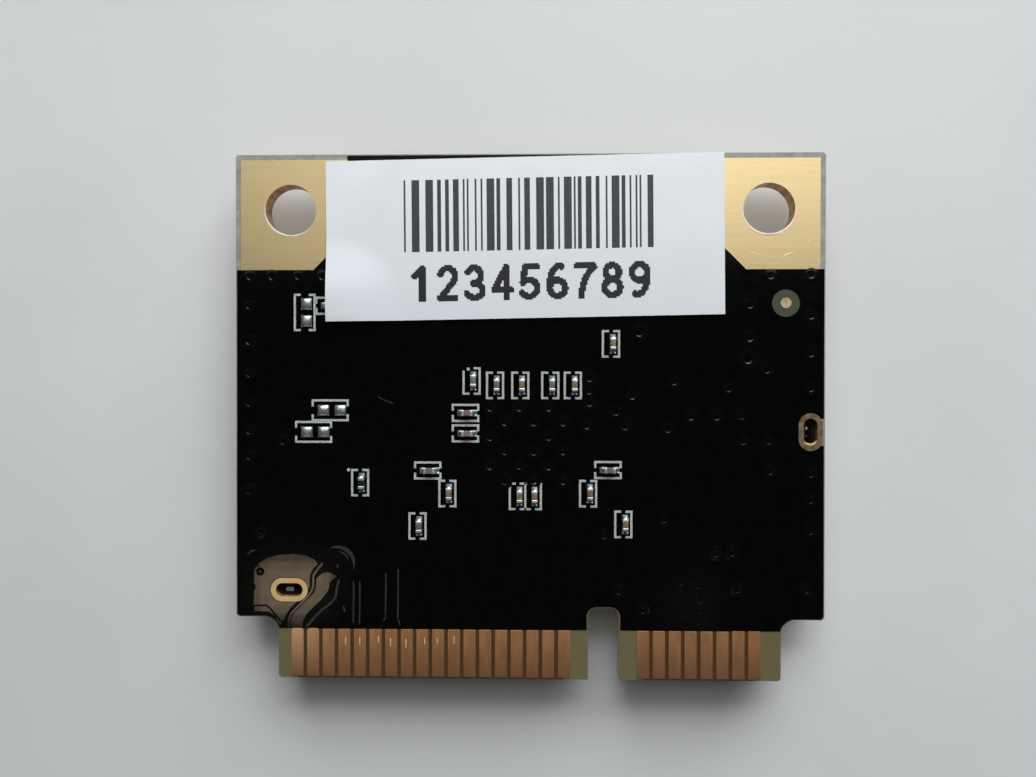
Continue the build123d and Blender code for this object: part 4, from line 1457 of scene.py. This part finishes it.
@dataclass
class SmallChips:
    """Ceramic capacitors and the resistor on the back, with their solder and the bare tinned lands.

    Attributes:
        cap_length: Length of a chip's end cap.
        cap_proud: How far a cap stands out past the body.
        body_reach: How far the body reaches under both caps.
        land_width: Width of the solder on a land.
        toe: How far the solder runs out past the cap.
        climb: How high the solder climbs on the cap.
        heap: How much higher it climbs on an upper end.
        under: How far it reaches in under the cap.
        least: Height that it has even at its toe.
        bead_sizes: Smallest and largest radius of a bead with a painted highlight.
        bare_size: Width, length and height of a tinned land's cushion.
        bare_spacing: Way between both lands of a bare pair.
        bodies: Body colour of each capacitor.
    """

    cap_length: float = 0.16
    cap_proud: float = 0.012
    body_reach: float = 0.04
    land_width: float = 0.36
    toe: float = 0.2
    climb: float = 0.24
    heap: float = 0.05
    under: float = 0.05
    least: float = 0.014
    bead_sizes: Spot = (0.055, 0.07)
    bare_size: Point = (0.59, 0.55, 0.13)
    bare_spacing: float = 0.87
    bodies: dict[str, ChipBody] = field(default_factory=lambda: {
        "capacitor_back_01": ChipBody.GREY_GREEN, "capacitor_back_02": ChipBody.GREY,
        "capacitor_back_03": ChipBody.RED_BROWN, "capacitor_back_04": ChipBody.GREY,
        "capacitor_back_05": ChipBody.OLIVE_YELLOW, "capacitor_back_06": ChipBody.PINK_BROWN,
        "capacitor_back_07": ChipBody.PINK_BROWN, "capacitor_back_08": ChipBody.GREY,
        "capacitor_back_09": ChipBody.OCHRE, "capacitor_back_10": ChipBody.OLIVE_GREY,
        "capacitor_back_11": ChipBody.OLIVE_YELLOW, "capacitor_back_12": ChipBody.RED_BROWN,
        "capacitor_back_13": ChipBody.OLIVE_BROWN, "capacitor_back_14": ChipBody.OLIVE_GREY,
        "capacitor_back_15": ChipBody.OCHRE, "capacitor_back_16": ChipBody.OLIVE_YELLOW,
        "capacitor_back_17": ChipBody.RED_BROWN,
    })

    def build_chip(self, name: str, draw: random.Random) -> tuple[Spot, float]:
        """Builds one chip: its body and its two end caps.

        Args:
            name: Solid that the chip stands for.
            draw: Source of its small unevenness.

        Returns:
            Its middle in plan, and its turn in degrees.
        """
        low = low_corner(name)
        high = high_corner(name)
        middle = middle_of(name)
        turn = turn_of(name)
        length = max(high[0] - low[0], high[1] - low[1])
        width = min(high[0] - low[0], high[1] - low[1])
        height = high[2] - low[2]
        proud = self.cap_proud
        shape = Shape()
        inner_length = length - 2 * self.cap_length + self.body_reach
        body_size = (inner_length, width - 2 * proud, height - 2 * proud)
        shape.block(middle, body_size, low[2] + proud, 0, corner=0.01, edge=0.022, turn=turn)
        for side in (-1, 1):
            reach = side * (length - self.cap_length) / 2
            spot = moved([(reach, 0.0)], *middle, turn)[0]
            stub = self.cap_length * draw.uniform(0.94, 1.0)
            shape.block(spot, (stub, width, height), low[2], 1, corner=0.03, edge=0.035, turn=turn)
        finish = self.bodies[name].finish() if name in self.bodies else RESISTOR_COAT
        shape.make(f"dressed_{name}", [finish, TIN], (name,))
        return middle, turn

    def fillet(self, shape: Shape, place: Spot, turn: float, length: float, low: float,
               draw: random.Random) -> None:
        """Adds the solder at one end of a chip.

        Args:
            shape: Shape that takes it.
            place: Middle of the chip.
            turn: Heading of this end, in degrees.
            length: Length of the chip.
            low: Height of the land's face.
            draw: Source of the lumps.
        """
        stations = 10
        across = 12
        climb = self.climb * draw.uniform(0.92, 1.0)
        phase = draw.uniform(0, math.tau)
        facing = math.sin(math.radians(turn)) > 0.5
        shaded = math.sin(math.radians(turn)) < -0.5
        rings = []
        for station in range(stations):
            share = station / (stations - 1)
            distance = length / 2 - self.under + share * (self.toe + self.under)
            if facing:
                height = (climb + self.heap) * math.cos(share * math.pi / 2) ** 0.9
            else:
                height = climb * (1 - share) ** (2.4 if shaded else 1.5)
            half = self.land_width / 2 * (1 - 0.3 * share ** 2.5)
            ring = []
            for step in range(across + 1):
                slope = math.pi * step / across
                lump = 1 + 0.03 * math.sin(2 * slope + phase + 1.5 * share)
                z = (height + self.least) * math.sin(slope) ** 0.75 * lump
                ring.append((distance, -half * math.cos(slope), low + max(z, 0.0)))
            spots = moved([(a, b) for a, b, _ in ring], *place, turn)
            rings.append([(x, y, z) for (x, y), (_, _, z) in zip(spots, ring)])
        shape.skin(rings, 1 if shaded else 0)
        if facing:
            return
        if shaded:
            beads = []
            for side in (-1, 1):
                along = self.toe * draw.uniform(0.6, 0.72)
                beads.append((along, side * draw.uniform(0.085, 0.11), 0.0))
        else:
            up = 1 if math.cos(math.radians(turn)) > 0 else -1
            beads = [(0.05, 0.1 * up, 0.55 * climb)]
            if up > 0:
                beads.append((0.7 * self.toe, -0.13, 0.0))
        # Beads painted with a highlight, as glints on the solder.
        for along, across_place, lift in beads:
            spot = moved([(length / 2 + along, across_place)], *place, turn)[0]
            radius = draw.uniform(*self.bead_sizes)
            shape.dome(spot, radius, low + lift, 1.5 * radius, 2)

    def build(self) -> None:
        """Builds every chip with its solder, and the tinned bare lands."""
        draw = random.Random(5)
        solder = Shape()
        land_face = low_corner("solder_joints_back")[2]
        names = sorted(name for name in NODES if name.startswith(("capacitor_back_", "resistor_back_")))
        for name in names:
            middle, turn = self.build_chip(name, draw)
            low = low_corner(name)
            high = high_corner(name)
            length = max(high[0] - low[0], high[1] - low[1])
            for heading in (turn, turn + 180):
                self.fillet(solder, middle, heading, length, land_face, draw)
        solder.make("chip_solder", [SOLDER, SHADED_SOLDER, GLINT_TIN], ("solder_joints_back",))
        cushions = Shape()
        low = low_corner("bare_land_solder")[2]
        for x, y, turn in BARE_PAIRS:
            for side in (-1, 1):
                spot = moved([(side * self.bare_spacing / 2, 0.0)], x, y, turn)[0]
                cushions.pillow(spot, self.bare_size, low, 0, 0.16, turn, draw)
        cushions.make("tinned_bare_lands", [SOLDER], ("bare_land_solder",))


@dataclass
class OutlinePrint:
    """White brackets printed round the chips.

    Attributes:
        line: Width of the print.
        ends: Length of the bracket's short legs.
        chip_size: Length and width of the outline of a chip.
        bare_size: Length and width of the outline of a bare pair.
        shift: How far the print lies off along X.
        waver: How far its line strays.
        fine_step: Way between two points of its line.
        wear: Length of the bracket that is worn off by the first capacitor.
        dots: Places of the printed dots.
        dot_radius: Radius of a dot.
        serif_cut: How much shorter the serifs of the shared outline are than its legs.
    """

    line: float = 0.11
    ends: float = 0.3
    chip_size: Spot = (1.4, 0.925)
    bare_size: Spot = (1.9, 1.12)
    shift: float = -0.09
    waver: float = 0.005
    fine_step: float = 0.12
    wear: float = 0.18
    dots: tuple[Spot, ...] = ((-3.05, 2.43), (-9.15, -2.7))
    dot_radius: float = 0.085
    serif_cut: float = 0.07

    def brackets(self, size: Spot) -> list[list[Spot]]:
        """Middle lines of two brackets that face each other, lying along X.

        Args:
            size: Length and width over all.

        Returns:
            The two routes.
        """
        half_length = (size[0] - self.line) / 2
        half_width = (size[1] - self.line) / 2
        routes = []
        for side in (-1, 1):
            leg = side * (half_width - self.ends + self.line / 2)
            edge = side * half_width
            routes.append([(-half_length, leg), (-half_length, edge), (half_length, edge),
                           (half_length, leg)])
        return routes

    def inked(self, route: list[Spot], draw: random.Random) -> list[Spot]:
        """Outline of the print along a route, slightly uneven.

        Args:
            route: Corner points of the middle line.
            draw: Source of the unevenness.

        Returns:
            The closed outline.
        """
        fine = []
        for start, end in zip(route, route[1:]):
            reach = math.dist(start, end)
            pieces = max(2, int(reach / self.fine_step))
            for step in range(pieces):
                share = step / pieces
                fine.append((start[0] + share * (end[0] - start[0]), start[1] + share * (end[1] - start[1])))
        fine.append(route[-1])
        stray = (-self.waver, self.waver)
        wavy = [(x + draw.uniform(*stray), y + draw.uniform(*stray)) for x, y in fine]
        return mitred(wavy, self.line)

    def worn_corner(self, route: list[Spot]) -> list[Spot]:
        """Cuts the upper leg and corner off a bracket.

        Args:
            route: The four points of its middle line.

        Returns:
            The shorter route.
        """
        upper, lower = (1, 2) if route[1][1] > route[2][1] else (2, 1)
        start = (route[upper][0], route[upper][1] - self.wear)
        end = route[3] if lower == 2 else route[0]
        return [start, route[lower], end]

    def build(self) -> None:
        """Builds every bracket of the outline print."""
        draw = random.Random(3)
        outlines = []
        shared = ("capacitor_back_11", "capacitor_back_12")
        for name in sorted(NODES):
            if not name.startswith(("capacitor_back_", "resistor_back_")) or name in shared:
                continue
            middle = middle_of(name)
            middle = (middle[0] + self.shift, middle[1])
            for route in self.brackets(self.chip_size):
                placed = moved(route, *middle, turn_of(name))
                if name == "capacitor_back_01" and placed[0][0] < middle[0]:
                    placed = self.worn_corner(placed)
                outlines.append(self.inked(placed, draw))
        for x, y, turn in BARE_PAIRS:
            for route in self.brackets(self.bare_size):
                outlines.append(self.inked(moved(route, x + self.shift, y, turn), draw))
        left = low_corner(shared[0])
        right = high_corner(shared[1])
        middle = ((left[0] + right[0]) / 2 + self.shift, (left[1] + right[1]) / 2)
        wide = right[0] - left[0] - 0.3 + self.chip_size[1]
        for route in self.brackets((self.chip_size[0], wide)):
            outlines.append(self.inked(moved(route, *middle, 90.0), draw))
        half = (self.chip_size[0] - self.line) / 2
        divider = [(middle[0], middle[1] - half), (middle[0], middle[1] + half)]
        outlines.append(self.inked(divider, draw))
        shape = Shape()
        low = low_corner("outline_print")[2]
        height = high_corner("outline_print")[2] - low
        for outline in outlines:
            shape.plates([outline], low, height, height / 4)
        for x, y in self.dots:
            shape.plates([moved(circle(self.dot_radius, 12), x, y)], low, height, height / 4)
        for side in (-1, 1):
            serif = [(middle[0] - self.ends + self.serif_cut, middle[1] + side * half),
                     (middle[0] + self.ends - self.serif_cut, middle[1] + side * half)]
            shape.plates([mitred(serif, self.line)], low, height, height / 4)
        shape.make("printed_outlines", [OUTLINE_INK], ("outline_print",), CRISP_BEND)


def mitred(route: list[Spot], width: float) -> list[Spot]:
    """Outline of a square-ended line along a route, with mitred corners.

    Args:
        route: Points of the middle line.
        width: Width of the line.

    Returns:
        The outline.
    """
    sides: list[list[Spot]] = [[], []]
    last = len(route) - 1
    for index, (x, y) in enumerate(route):
        headings = []
        for start, end in ((index - 1, index), (index, index + 1)):
            if start >= 0 and end <= last:
                headings.append(math.atan2(route[end][1] - route[start][1], route[end][0] - route[start][0]))
        heading = headings[0]
        bend = 0.0
        if len(headings) == 2:
            bend = (headings[1] - headings[0] + math.pi) % math.tau - math.pi
            heading += bend / 2
        reach = width / 2 / max(math.cos(bend / 2), 0.4)
        overhang = width / 2 * (-1 if index == 0 else 1 if index == last else 0)
        tip = (x + overhang * math.cos(heading), y + overhang * math.sin(heading))
        for side, sign in zip(sides, (1, -1)):
            angle = heading + sign * math.pi / 2
            side.append((tip[0] + reach * math.cos(angle), tip[1] + reach * math.sin(angle)))
    return sides[1] + sides[0][::-1]


@dataclass
class Label:
    """Paper label with a field of plain bars and a row of plain digits.

    Attributes:
        turn: How far it is stuck on askew, in degrees.
        side_turn: How far its sides lean, in degrees.
        stretch: How much taller the paper is than its solid.
        thickness: Thickness of the paper.
        wave: Height of its slow waves.
        tent: How far the paper slopes down round the chip under its corner.
        tent_top: Half the length and width of the flat top over that chip.
        module: Width of the narrowest bar.
        bars_low: Way from the label's middle to the lower end of the bars.
        bars_high: Way from the label's middle to their upper end.
        bars_left: Way from the label's middle to the first bar.
        modules: Narrowest bars that fit across the field.
        bar_gap: Share of a narrow bar that stays white beside each bar.
        bar_widths: Widths that a bar may have, in narrow bars.
        white_widths: Widths that the white beside it may have.
        ink_height: Thickness of the ink.
        digit_left: Way from the label's middle to the first digit.
        digit_low: Way from the label's middle to the foot of the digits.
        digit_width: Width of a digit.
        digit_height: Height of a digit.
        digit_pitch: Way from one digit to the next.
        digit_stroke: Width of a digit's strokes.
        cell: Side of the square cells that a digit is printed in.
        nick: How uneven the cut edge of the paper is.
    """

    turn: float = 1.09
    side_turn: float = 0.5
    stretch: float = 0.05
    thickness: float = 0.1
    wave: float = 0.005
    tent: float = 3.2
    tent_top: Spot = (0.5, 0.3)
    module: float = 0.1
    bars_low: float = -0.62
    bars_high: float = 3.01
    bars_left: float = -6.1
    modules: int = 126
    bar_gap: float = 0.1
    bar_widths: tuple[int, ...] = (1, 1, 1, 2, 3, 4)
    white_widths: tuple[int, ...] = (1, 2, 2, 3)
    ink_height: float = 0.005
    digit_left: float = -5.84
    digit_low: float = -3.14
    digit_width: float = 1.1
    digit_height: float = 1.83
    digit_pitch: float = 1.385
    digit_stroke: float = 0.33
    cell: float = 0.0763
    nick: float = 0.004

    def __post_init__(self) -> None:
        """Reads the label's middle and size from its solid."""
        low = low_corner("paper_label")
        high = high_corner("paper_label")
        cosine = math.cos(math.radians(self.turn))
        sine = math.sin(math.radians(self.turn))
        over_x = high[0] - low[0]
        over_y = high[1] - low[1]
        square = cosine ** 2 - sine ** 2
        self.width = (over_x * cosine - over_y * sine) / square
        self.height = (over_y * cosine - over_x * sine) / square
        self.height += self.stretch
        self.middle = ((low[0] + high[0]) / 2, (low[1] + high[1] + self.stretch) / 2)
        self.base = low[2]
        self.crest = high[2] - low[2] - self.thickness
        self.chip = middle_of("capacitor_back_17")

    def lift(self, x: float, y: float) -> float:
        """Height of the paper over the print: slow waves, and the tent over the chip.

        Args:
            x: Place along X.
            y: Place along Y.

        Returns:
            The height of its underside.
        """
        away_x = max(abs(x - self.chip[0]) - self.tent_top[0], 0.0)
        away_y = max(abs(y - self.chip[1]) - self.tent_top[1], 0.0)
        share = max(0.0, 1 - math.hypot(away_x, away_y) / self.tent)
        waves = math.sin(0.9 * x + 0.4 * y) * math.sin(0.55 * y - 0.35 * x + 1.0)
        return self.crest * share * share * (3 - 2 * share) + self.wave * (0.5 + 0.5 * waves) * (1 - share)

    def on_paper(self, u: float, v: float, proud: float) -> Point:
        """Point over the paper.

        Args:
            u: Way along the label from its middle.
            v: Way up the label from its middle.
            proud: How far the point stands over the paper.

        Returns:
            The point.
        """
        turn = math.radians(self.turn)
        lean = math.radians(self.side_turn)
        x = self.middle[0] + u * math.cos(turn) - v * math.sin(lean)
        y = self.middle[1] + u * math.sin(turn) + v * math.cos(lean)
        return (x, y, self.base + self.thickness + self.lift(x, y) + proud)

    def build_paper(self) -> None:
        """Builds the sheet."""
        columns = 120
        lines = 56
        shape = Shape()
        draw = random.Random(8)
        nicks = [draw.uniform(-self.nick, self.nick) for _ in range(columns + lines + 2)]
        for under in (0.0, self.thickness):
            for line in range(lines + 1):
                for column in range(columns + 1):
                    u = self.width * (column / columns - 0.5)
                    v = self.height * (line / lines - 0.5)
                    if column in (0, columns):
                        u += nicks[line]
                    if line in (0, lines):
                        v += nicks[lines + column]
                    x, y, z = self.on_paper(u, v, -under)
                    shape.points.append((x, y, max(z, self.base)))
        layer = (columns + 1) * (lines + 1)
        for line in range(lines):
            for column in range(columns):
                a = line * (columns + 1) + column
                quad = (a, a + 1, a + columns + 2, a + columns + 1)
                shape.faces.append(quad)
                shape.faces.append(tuple(layer + index for index in quad[::-1]))
        rim = list(range(columns + 1))
        rim += [line * (columns + 1) + columns for line in range(1, lines + 1)]
        rim += [lines * (columns + 1) + column for column in range(columns - 1, -1, -1)]
        rim += [line * (columns + 1) for line in range(lines - 1, 0, -1)]
        for start, end in zip(rim, rim[1:] + rim[:1]):
            shape.faces.append((end, start, layer + start, layer + end))
        shape.numbers = [0] * len(shape.faces)
        shape.make("stuck_label", [PAPER], ("paper_label",))

    def inked_field(self, shape: Shape, left: float, right: float, low: float, high: float,
                    number: int = 0) -> None:
        """Adds a printed field that follows the paper.

        Args:
            shape: Shape that takes it.
            left: Left end on the label.
            right: Right end on the label.
            low: Lower end on the label.
            high: Upper end on the label.
            number: Number of the finish.
        """
        pieces = max(1, round((high - low) / 0.3))
        rings = []
        for step in range(pieces + 1):
            v = low + (high - low) * step / pieces
            rings.append([
                self.on_paper(left, v, -self.ink_height), self.on_paper(right, v, -self.ink_height),
                self.on_paper(right, v, self.ink_height), self.on_paper(left, v, self.ink_height),
            ])
        shape.skin(rings, number)

    def digit_routes(self) -> list[list[list[Spot]]]:
        """Middle lines of the strokes of the digits 1 to 9, each with its lower left corner at zero.

        Returns:
            The strokes of each digit.
        """
        high = self.digit_height - self.digit_stroke / 2
        low = self.digit_stroke / 2
        left = self.digit_stroke / 2
        right = self.digit_width - self.digit_stroke / 2
        one = [[(0.66, 0.05), (0.66, high)], [(0.66, high), (0.25, 1.3)]]
        two = [arc((0.55, 1.25), (0.38, 0.42), 165, -40) + [(left + 0.02, low)], [(left, low), (right, low)]]
        three = [arc((0.5, 1.26), (0.36, 0.4), 150, -90), arc((0.52, 0.52), (0.42, 0.36), 95, -155)]
        four = [[(0.74, 0.05), (0.74, high)], [(0.74, high), (0.14, 0.55)], [(0.12, 0.52), (1.0, 0.52)]]
        five = [[(0.92, high), (0.3, high), (0.22, 0.92)], arc((0.52, 0.58), (0.42, 0.42), 140, -150)]
        six = [arc((0.56, 0.56), (0.39, 0.4), 0, 360, 24), arc((0.66, 0.7), (0.49, 0.97), 178, 75)]
        seven = [[(left, high), (right, high)], arc((1.5, 0.0), (1.12, 1.75), 115, 180)]
        eight = [arc((0.55, 1.3), (0.33, 0.36), 0, 360, 24), arc((0.55, 0.54), (0.4, 0.38), 0, 360, 24)]
        nine = [arc((0.54, 1.27), (0.39, 0.4), 0, 360, 24), arc((0.44, 1.13), (0.49, 0.97), -2, -105)]
        return [one, two, three, four, five, six, seven, eight, nine]

    def inked_digit(self, shape: Shape, left: float, routes: list[list[Spot]]) -> None:
        """Adds one digit, printed in square cells as a label printer does.

        Args:
            shape: Shape that takes it.
            left: Its left end on the label.
            routes: Middle lines of its strokes.
        """
        lines = round(self.digit_height / self.cell)
        columns = round((self.digit_width + 0.1) / self.cell)
        for line in range(lines):
            start = None
            for column in range(columns + 1):
                centre = ((column + 0.5) * self.cell, (line + 0.5) * self.cell)
                filled = column < columns and near_route(centre, routes, self.digit_stroke / 2)
                if filled and start is None:
                    start = column
                if not filled and start is not None:
                    low = self.digit_low + line * self.cell
                    span = (left + start * self.cell, left + column * self.cell)
                    self.inked_field(shape, *span, low, low + self.cell + 0.004, 1)
                    start = None

    def build_print(self) -> None:
        """Builds the bars and the digits."""
        shape = Shape()
        draw = random.Random(21)
        at = 0
        while at < self.modules:
            bar = min(draw.choice(self.bar_widths), self.modules - at)
            left = self.bars_left + at * self.module
            right = left + (bar - self.bar_gap) * self.module
            self.inked_field(shape, left, right, self.bars_low, self.bars_high)
            at += bar + draw.choice(self.white_widths)
        for number, routes in enumerate(self.digit_routes()):
            self.inked_digit(shape, self.digit_left + number * self.digit_pitch, routes)
        shape.make("label_print", [BAR_INK, DIGIT_INK])

    def build(self) -> None:
        """Builds the paper and its print."""
        self.build_paper()
        self.build_print()


def near_route(spot: Spot, routes: list[list[Spot]], reach: float) -> bool:
    """Says whether a spot lies within reach of any of the routes.

    Args:
        spot: The spot.
        routes: Lines of points.
        reach: How near counts.

    Returns:
        True if it does.
    """
    for route in routes:
        for start, end in zip(route, route[1:]):
            run = (end[0] - start[0], end[1] - start[1])
            size = run[0] ** 2 + run[1] ** 2
            share = 0.0
            if size > 0:
                share = ((spot[0] - start[0]) * run[0] + (spot[1] - start[1]) * run[1]) / size
            share = min(max(share, 0.0), 1.0)
            near = (start[0] + share * run[0], start[1] + share * run[1])
            if math.dist(spot, near) <= reach:
                return True
    return False


@dataclass
class Shield:
    """Soldered frame and sprung lid of the shield."""

    def build(self) -> None:
        """Dresses the frame, the lid and their solder."""
        dress(LEGGED_STEEL, "shield_frame")
        dress(LID_STEEL, "shield_lid")
        dress(SOLDER, "shield_solder")
        dress(SLOT_SOLDER, "leg_solder")


@dataclass
class PartsSide:
    """Packages and chips under the shield."""

    def build(self) -> None:
        """Dresses every package and chip."""
        dress(RESIN, "radio_chip", "left_front_end_chip", "right_front_end_chip", "memory_chip",
              "regulator_chip")
        dress(CRYSTAL_CAN, "crystal")
        dress(FERRITE, "power_inductor")
        dress(FILTER_CERAMIC, "rf_filters")
        dress(ChipBody.OCHRE.finish(), "capacitors_front")
        dress(RESISTOR_COAT, "resistors_front")
        dress(SOLDER, "solder_joints_front")


@dataclass
class Antennas:
    """Coaxial antenna receptacles."""

    def build(self) -> None:
        """Dresses both receptacles."""
        for side in ("left", "right"):
            dress(INSULATOR, f"{side}_antenna_insulator")
            dress(ANTENNA_GOLD, f"{side}_antenna_shell", f"{side}_antenna_pin")


@dataclass
class SoftBox:
    """A soft light panel.

    Attributes:
        name: Name of the light.
        place: Its middle.
        aim: Spot that it faces.
        size: Width and height.
        glow: Brightness of its face.
        colour: Its colour in eight-bit steps.
    """

    name: str
    place: Point
    aim: Point
    size: Spot
    glow: float
    colour: Colour = (255, 255, 255)

    def build(self) -> None:
        """Hangs the panel."""
        light = bpy.data.lights.new(self.name, "AREA")
        light.shape = "RECTANGLE"
        light.size = self.size[0] * MM
        light.size_y = self.size[1] * MM
        light.energy = self.glow * math.pi * self.size[0] * self.size[1] * MM * MM
        light.color = linear(self.colour)[:3]
        lamp = bpy.data.objects.new(self.name, light)
        lamp.location = Vector(self.place) * MM
        back = (Vector(self.place) - Vector(self.aim)).normalized()
        across = Vector((0.0, 1.0, 0.0)).cross(back).normalized()
        lamp.rotation_euler = Matrix((across, back.cross(across), back)).transposed().to_euler()
        bpy.context.scene.collection.objects.link(lamp)


@dataclass
class Studio:
    """Pale floor, soft light and the camera over the card.

    Attributes:
        camera_place: Place of the lens.
        camera_turn: Turn of the camera, in radians.
        field_of_view: Width of the view, in degrees.
        floor_size: Side of the floor.
        ambient: Brightness of the room.
        room_colour: Colour of the room's glow.
        panels: The light panels.
    """

    camera_place: Point = (0.314, 1.751, 42.60)
    camera_turn: Point = (-0.00757, 0.02097, 0.00096)
    field_of_view: float = 66.53
    floor_size: float = 1200.0
    ambient: float = 0.05
    room_colour: tuple[float, float, float, float] = (0.9, 0.95, 1.0, 1.0)
    panels: tuple[SoftBox, ...] = field(default_factory=lambda: (
        SoftBox("window", (70.0, 330.0, 210.0), (0.0, 0.0, 0.0), (420.0, 260.0), 6.6, (246, 250, 255)),
        SoftBox("left_pad_panel", (-32.0, 56.0, 95.0), (-32.0, 56.0, 0.0), (54.0, 64.0), 0.74),
        SoftBox("right_pad_panel", (35.0, 56.0, 95.0), (35.0, 56.0, 0.0), (80.0, 64.0), 1.33),
        SoftBox("front_fill", (-40.0, -320.0, 150.0), (0.0, 0.0, 0.0), (300.0, 160.0), 0.5),
        SoftBox("left_glare", (-39.0, -31.7, 90.0), (-39.0, -31.7, 0.0), (12.5, 8.6), 0.66, (255, 244, 230)),
        SoftBox("right_glare", (26.0, -34.0, 90.0), (26.0, -34.0, 0.0), (7.0, 8.0), 0.3, (255, 240, 222)),
    ))

    def build_floor(self) -> None:
        """Lays the floor under the card."""
        steps = 12
        half = self.floor_size / 2
        points = []
        faces = []
        for row in range(steps + 1):
            for column in range(steps + 1):
                x = half * (2 * column / steps - 1)
                y = half * (2 * row / steps - 1)
                points.append((x * MM, y * MM, 0.0))
        for row in range(steps):
            for column in range(steps):
                a = row * (steps + 1) + column
                faces.append((a, a + 1, a + steps + 2, a + steps + 1))
        mesh = bpy.data.meshes.new("pale_floor")
        mesh.from_pydata(points, [], faces)
        mesh.materials.append(material_of(FLOOR))
        floor = bpy.data.objects.new("pale_floor", mesh)
        bpy.context.scene.collection.objects.link(floor)

    def build_lights(self) -> None:
        """Hangs the light panels and sets the room's glow."""
        for panel in self.panels:
            panel.build()
        world = bpy.data.worlds.new("room")
        world.use_nodes = True
        backdrop = next(node for node in world.node_tree.nodes if node.type == "BACKGROUND")
        backdrop.inputs["Color"].default_value = self.room_colour
        backdrop.inputs["Strength"].default_value = self.ambient
        bpy.context.scene.world = world

    def build_camera(self) -> None:
        """Sets the camera over the card."""
        lens = bpy.data.cameras.new("camera")
        lens.sensor_fit = "HORIZONTAL"
        lens.angle = math.radians(self.field_of_view)
        lens.clip_start = MM
        camera = bpy.data.objects.new("camera", lens)
        camera.location = Vector(self.camera_place) * MM
        camera.rotation_euler = self.camera_turn
        bpy.context.scene.collection.objects.link(camera)
        bpy.context.scene.camera = camera
        bpy.context.scene.view_settings.view_transform = "Standard"

    def build(self) -> None:
        """Builds the floor, the light and the camera."""
        self.build_floor()
        self.build_lights()
        self.build_camera()


def main() -> None:
    """Builds the card's sub-assemblies and the studio, in order."""
    logging.basicConfig(level=logging.INFO, format="%(name)s %(message)s")
    Board().build()
    CornerPads().build()
    EdgeContacts().build()
    SmallChips().build()
    OutlinePrint().build()
    Label().build()
    Shield().build()
    PartsSide().build()
    Antennas().build()
    Studio().build()


if __name__ == "__main__":
    main()
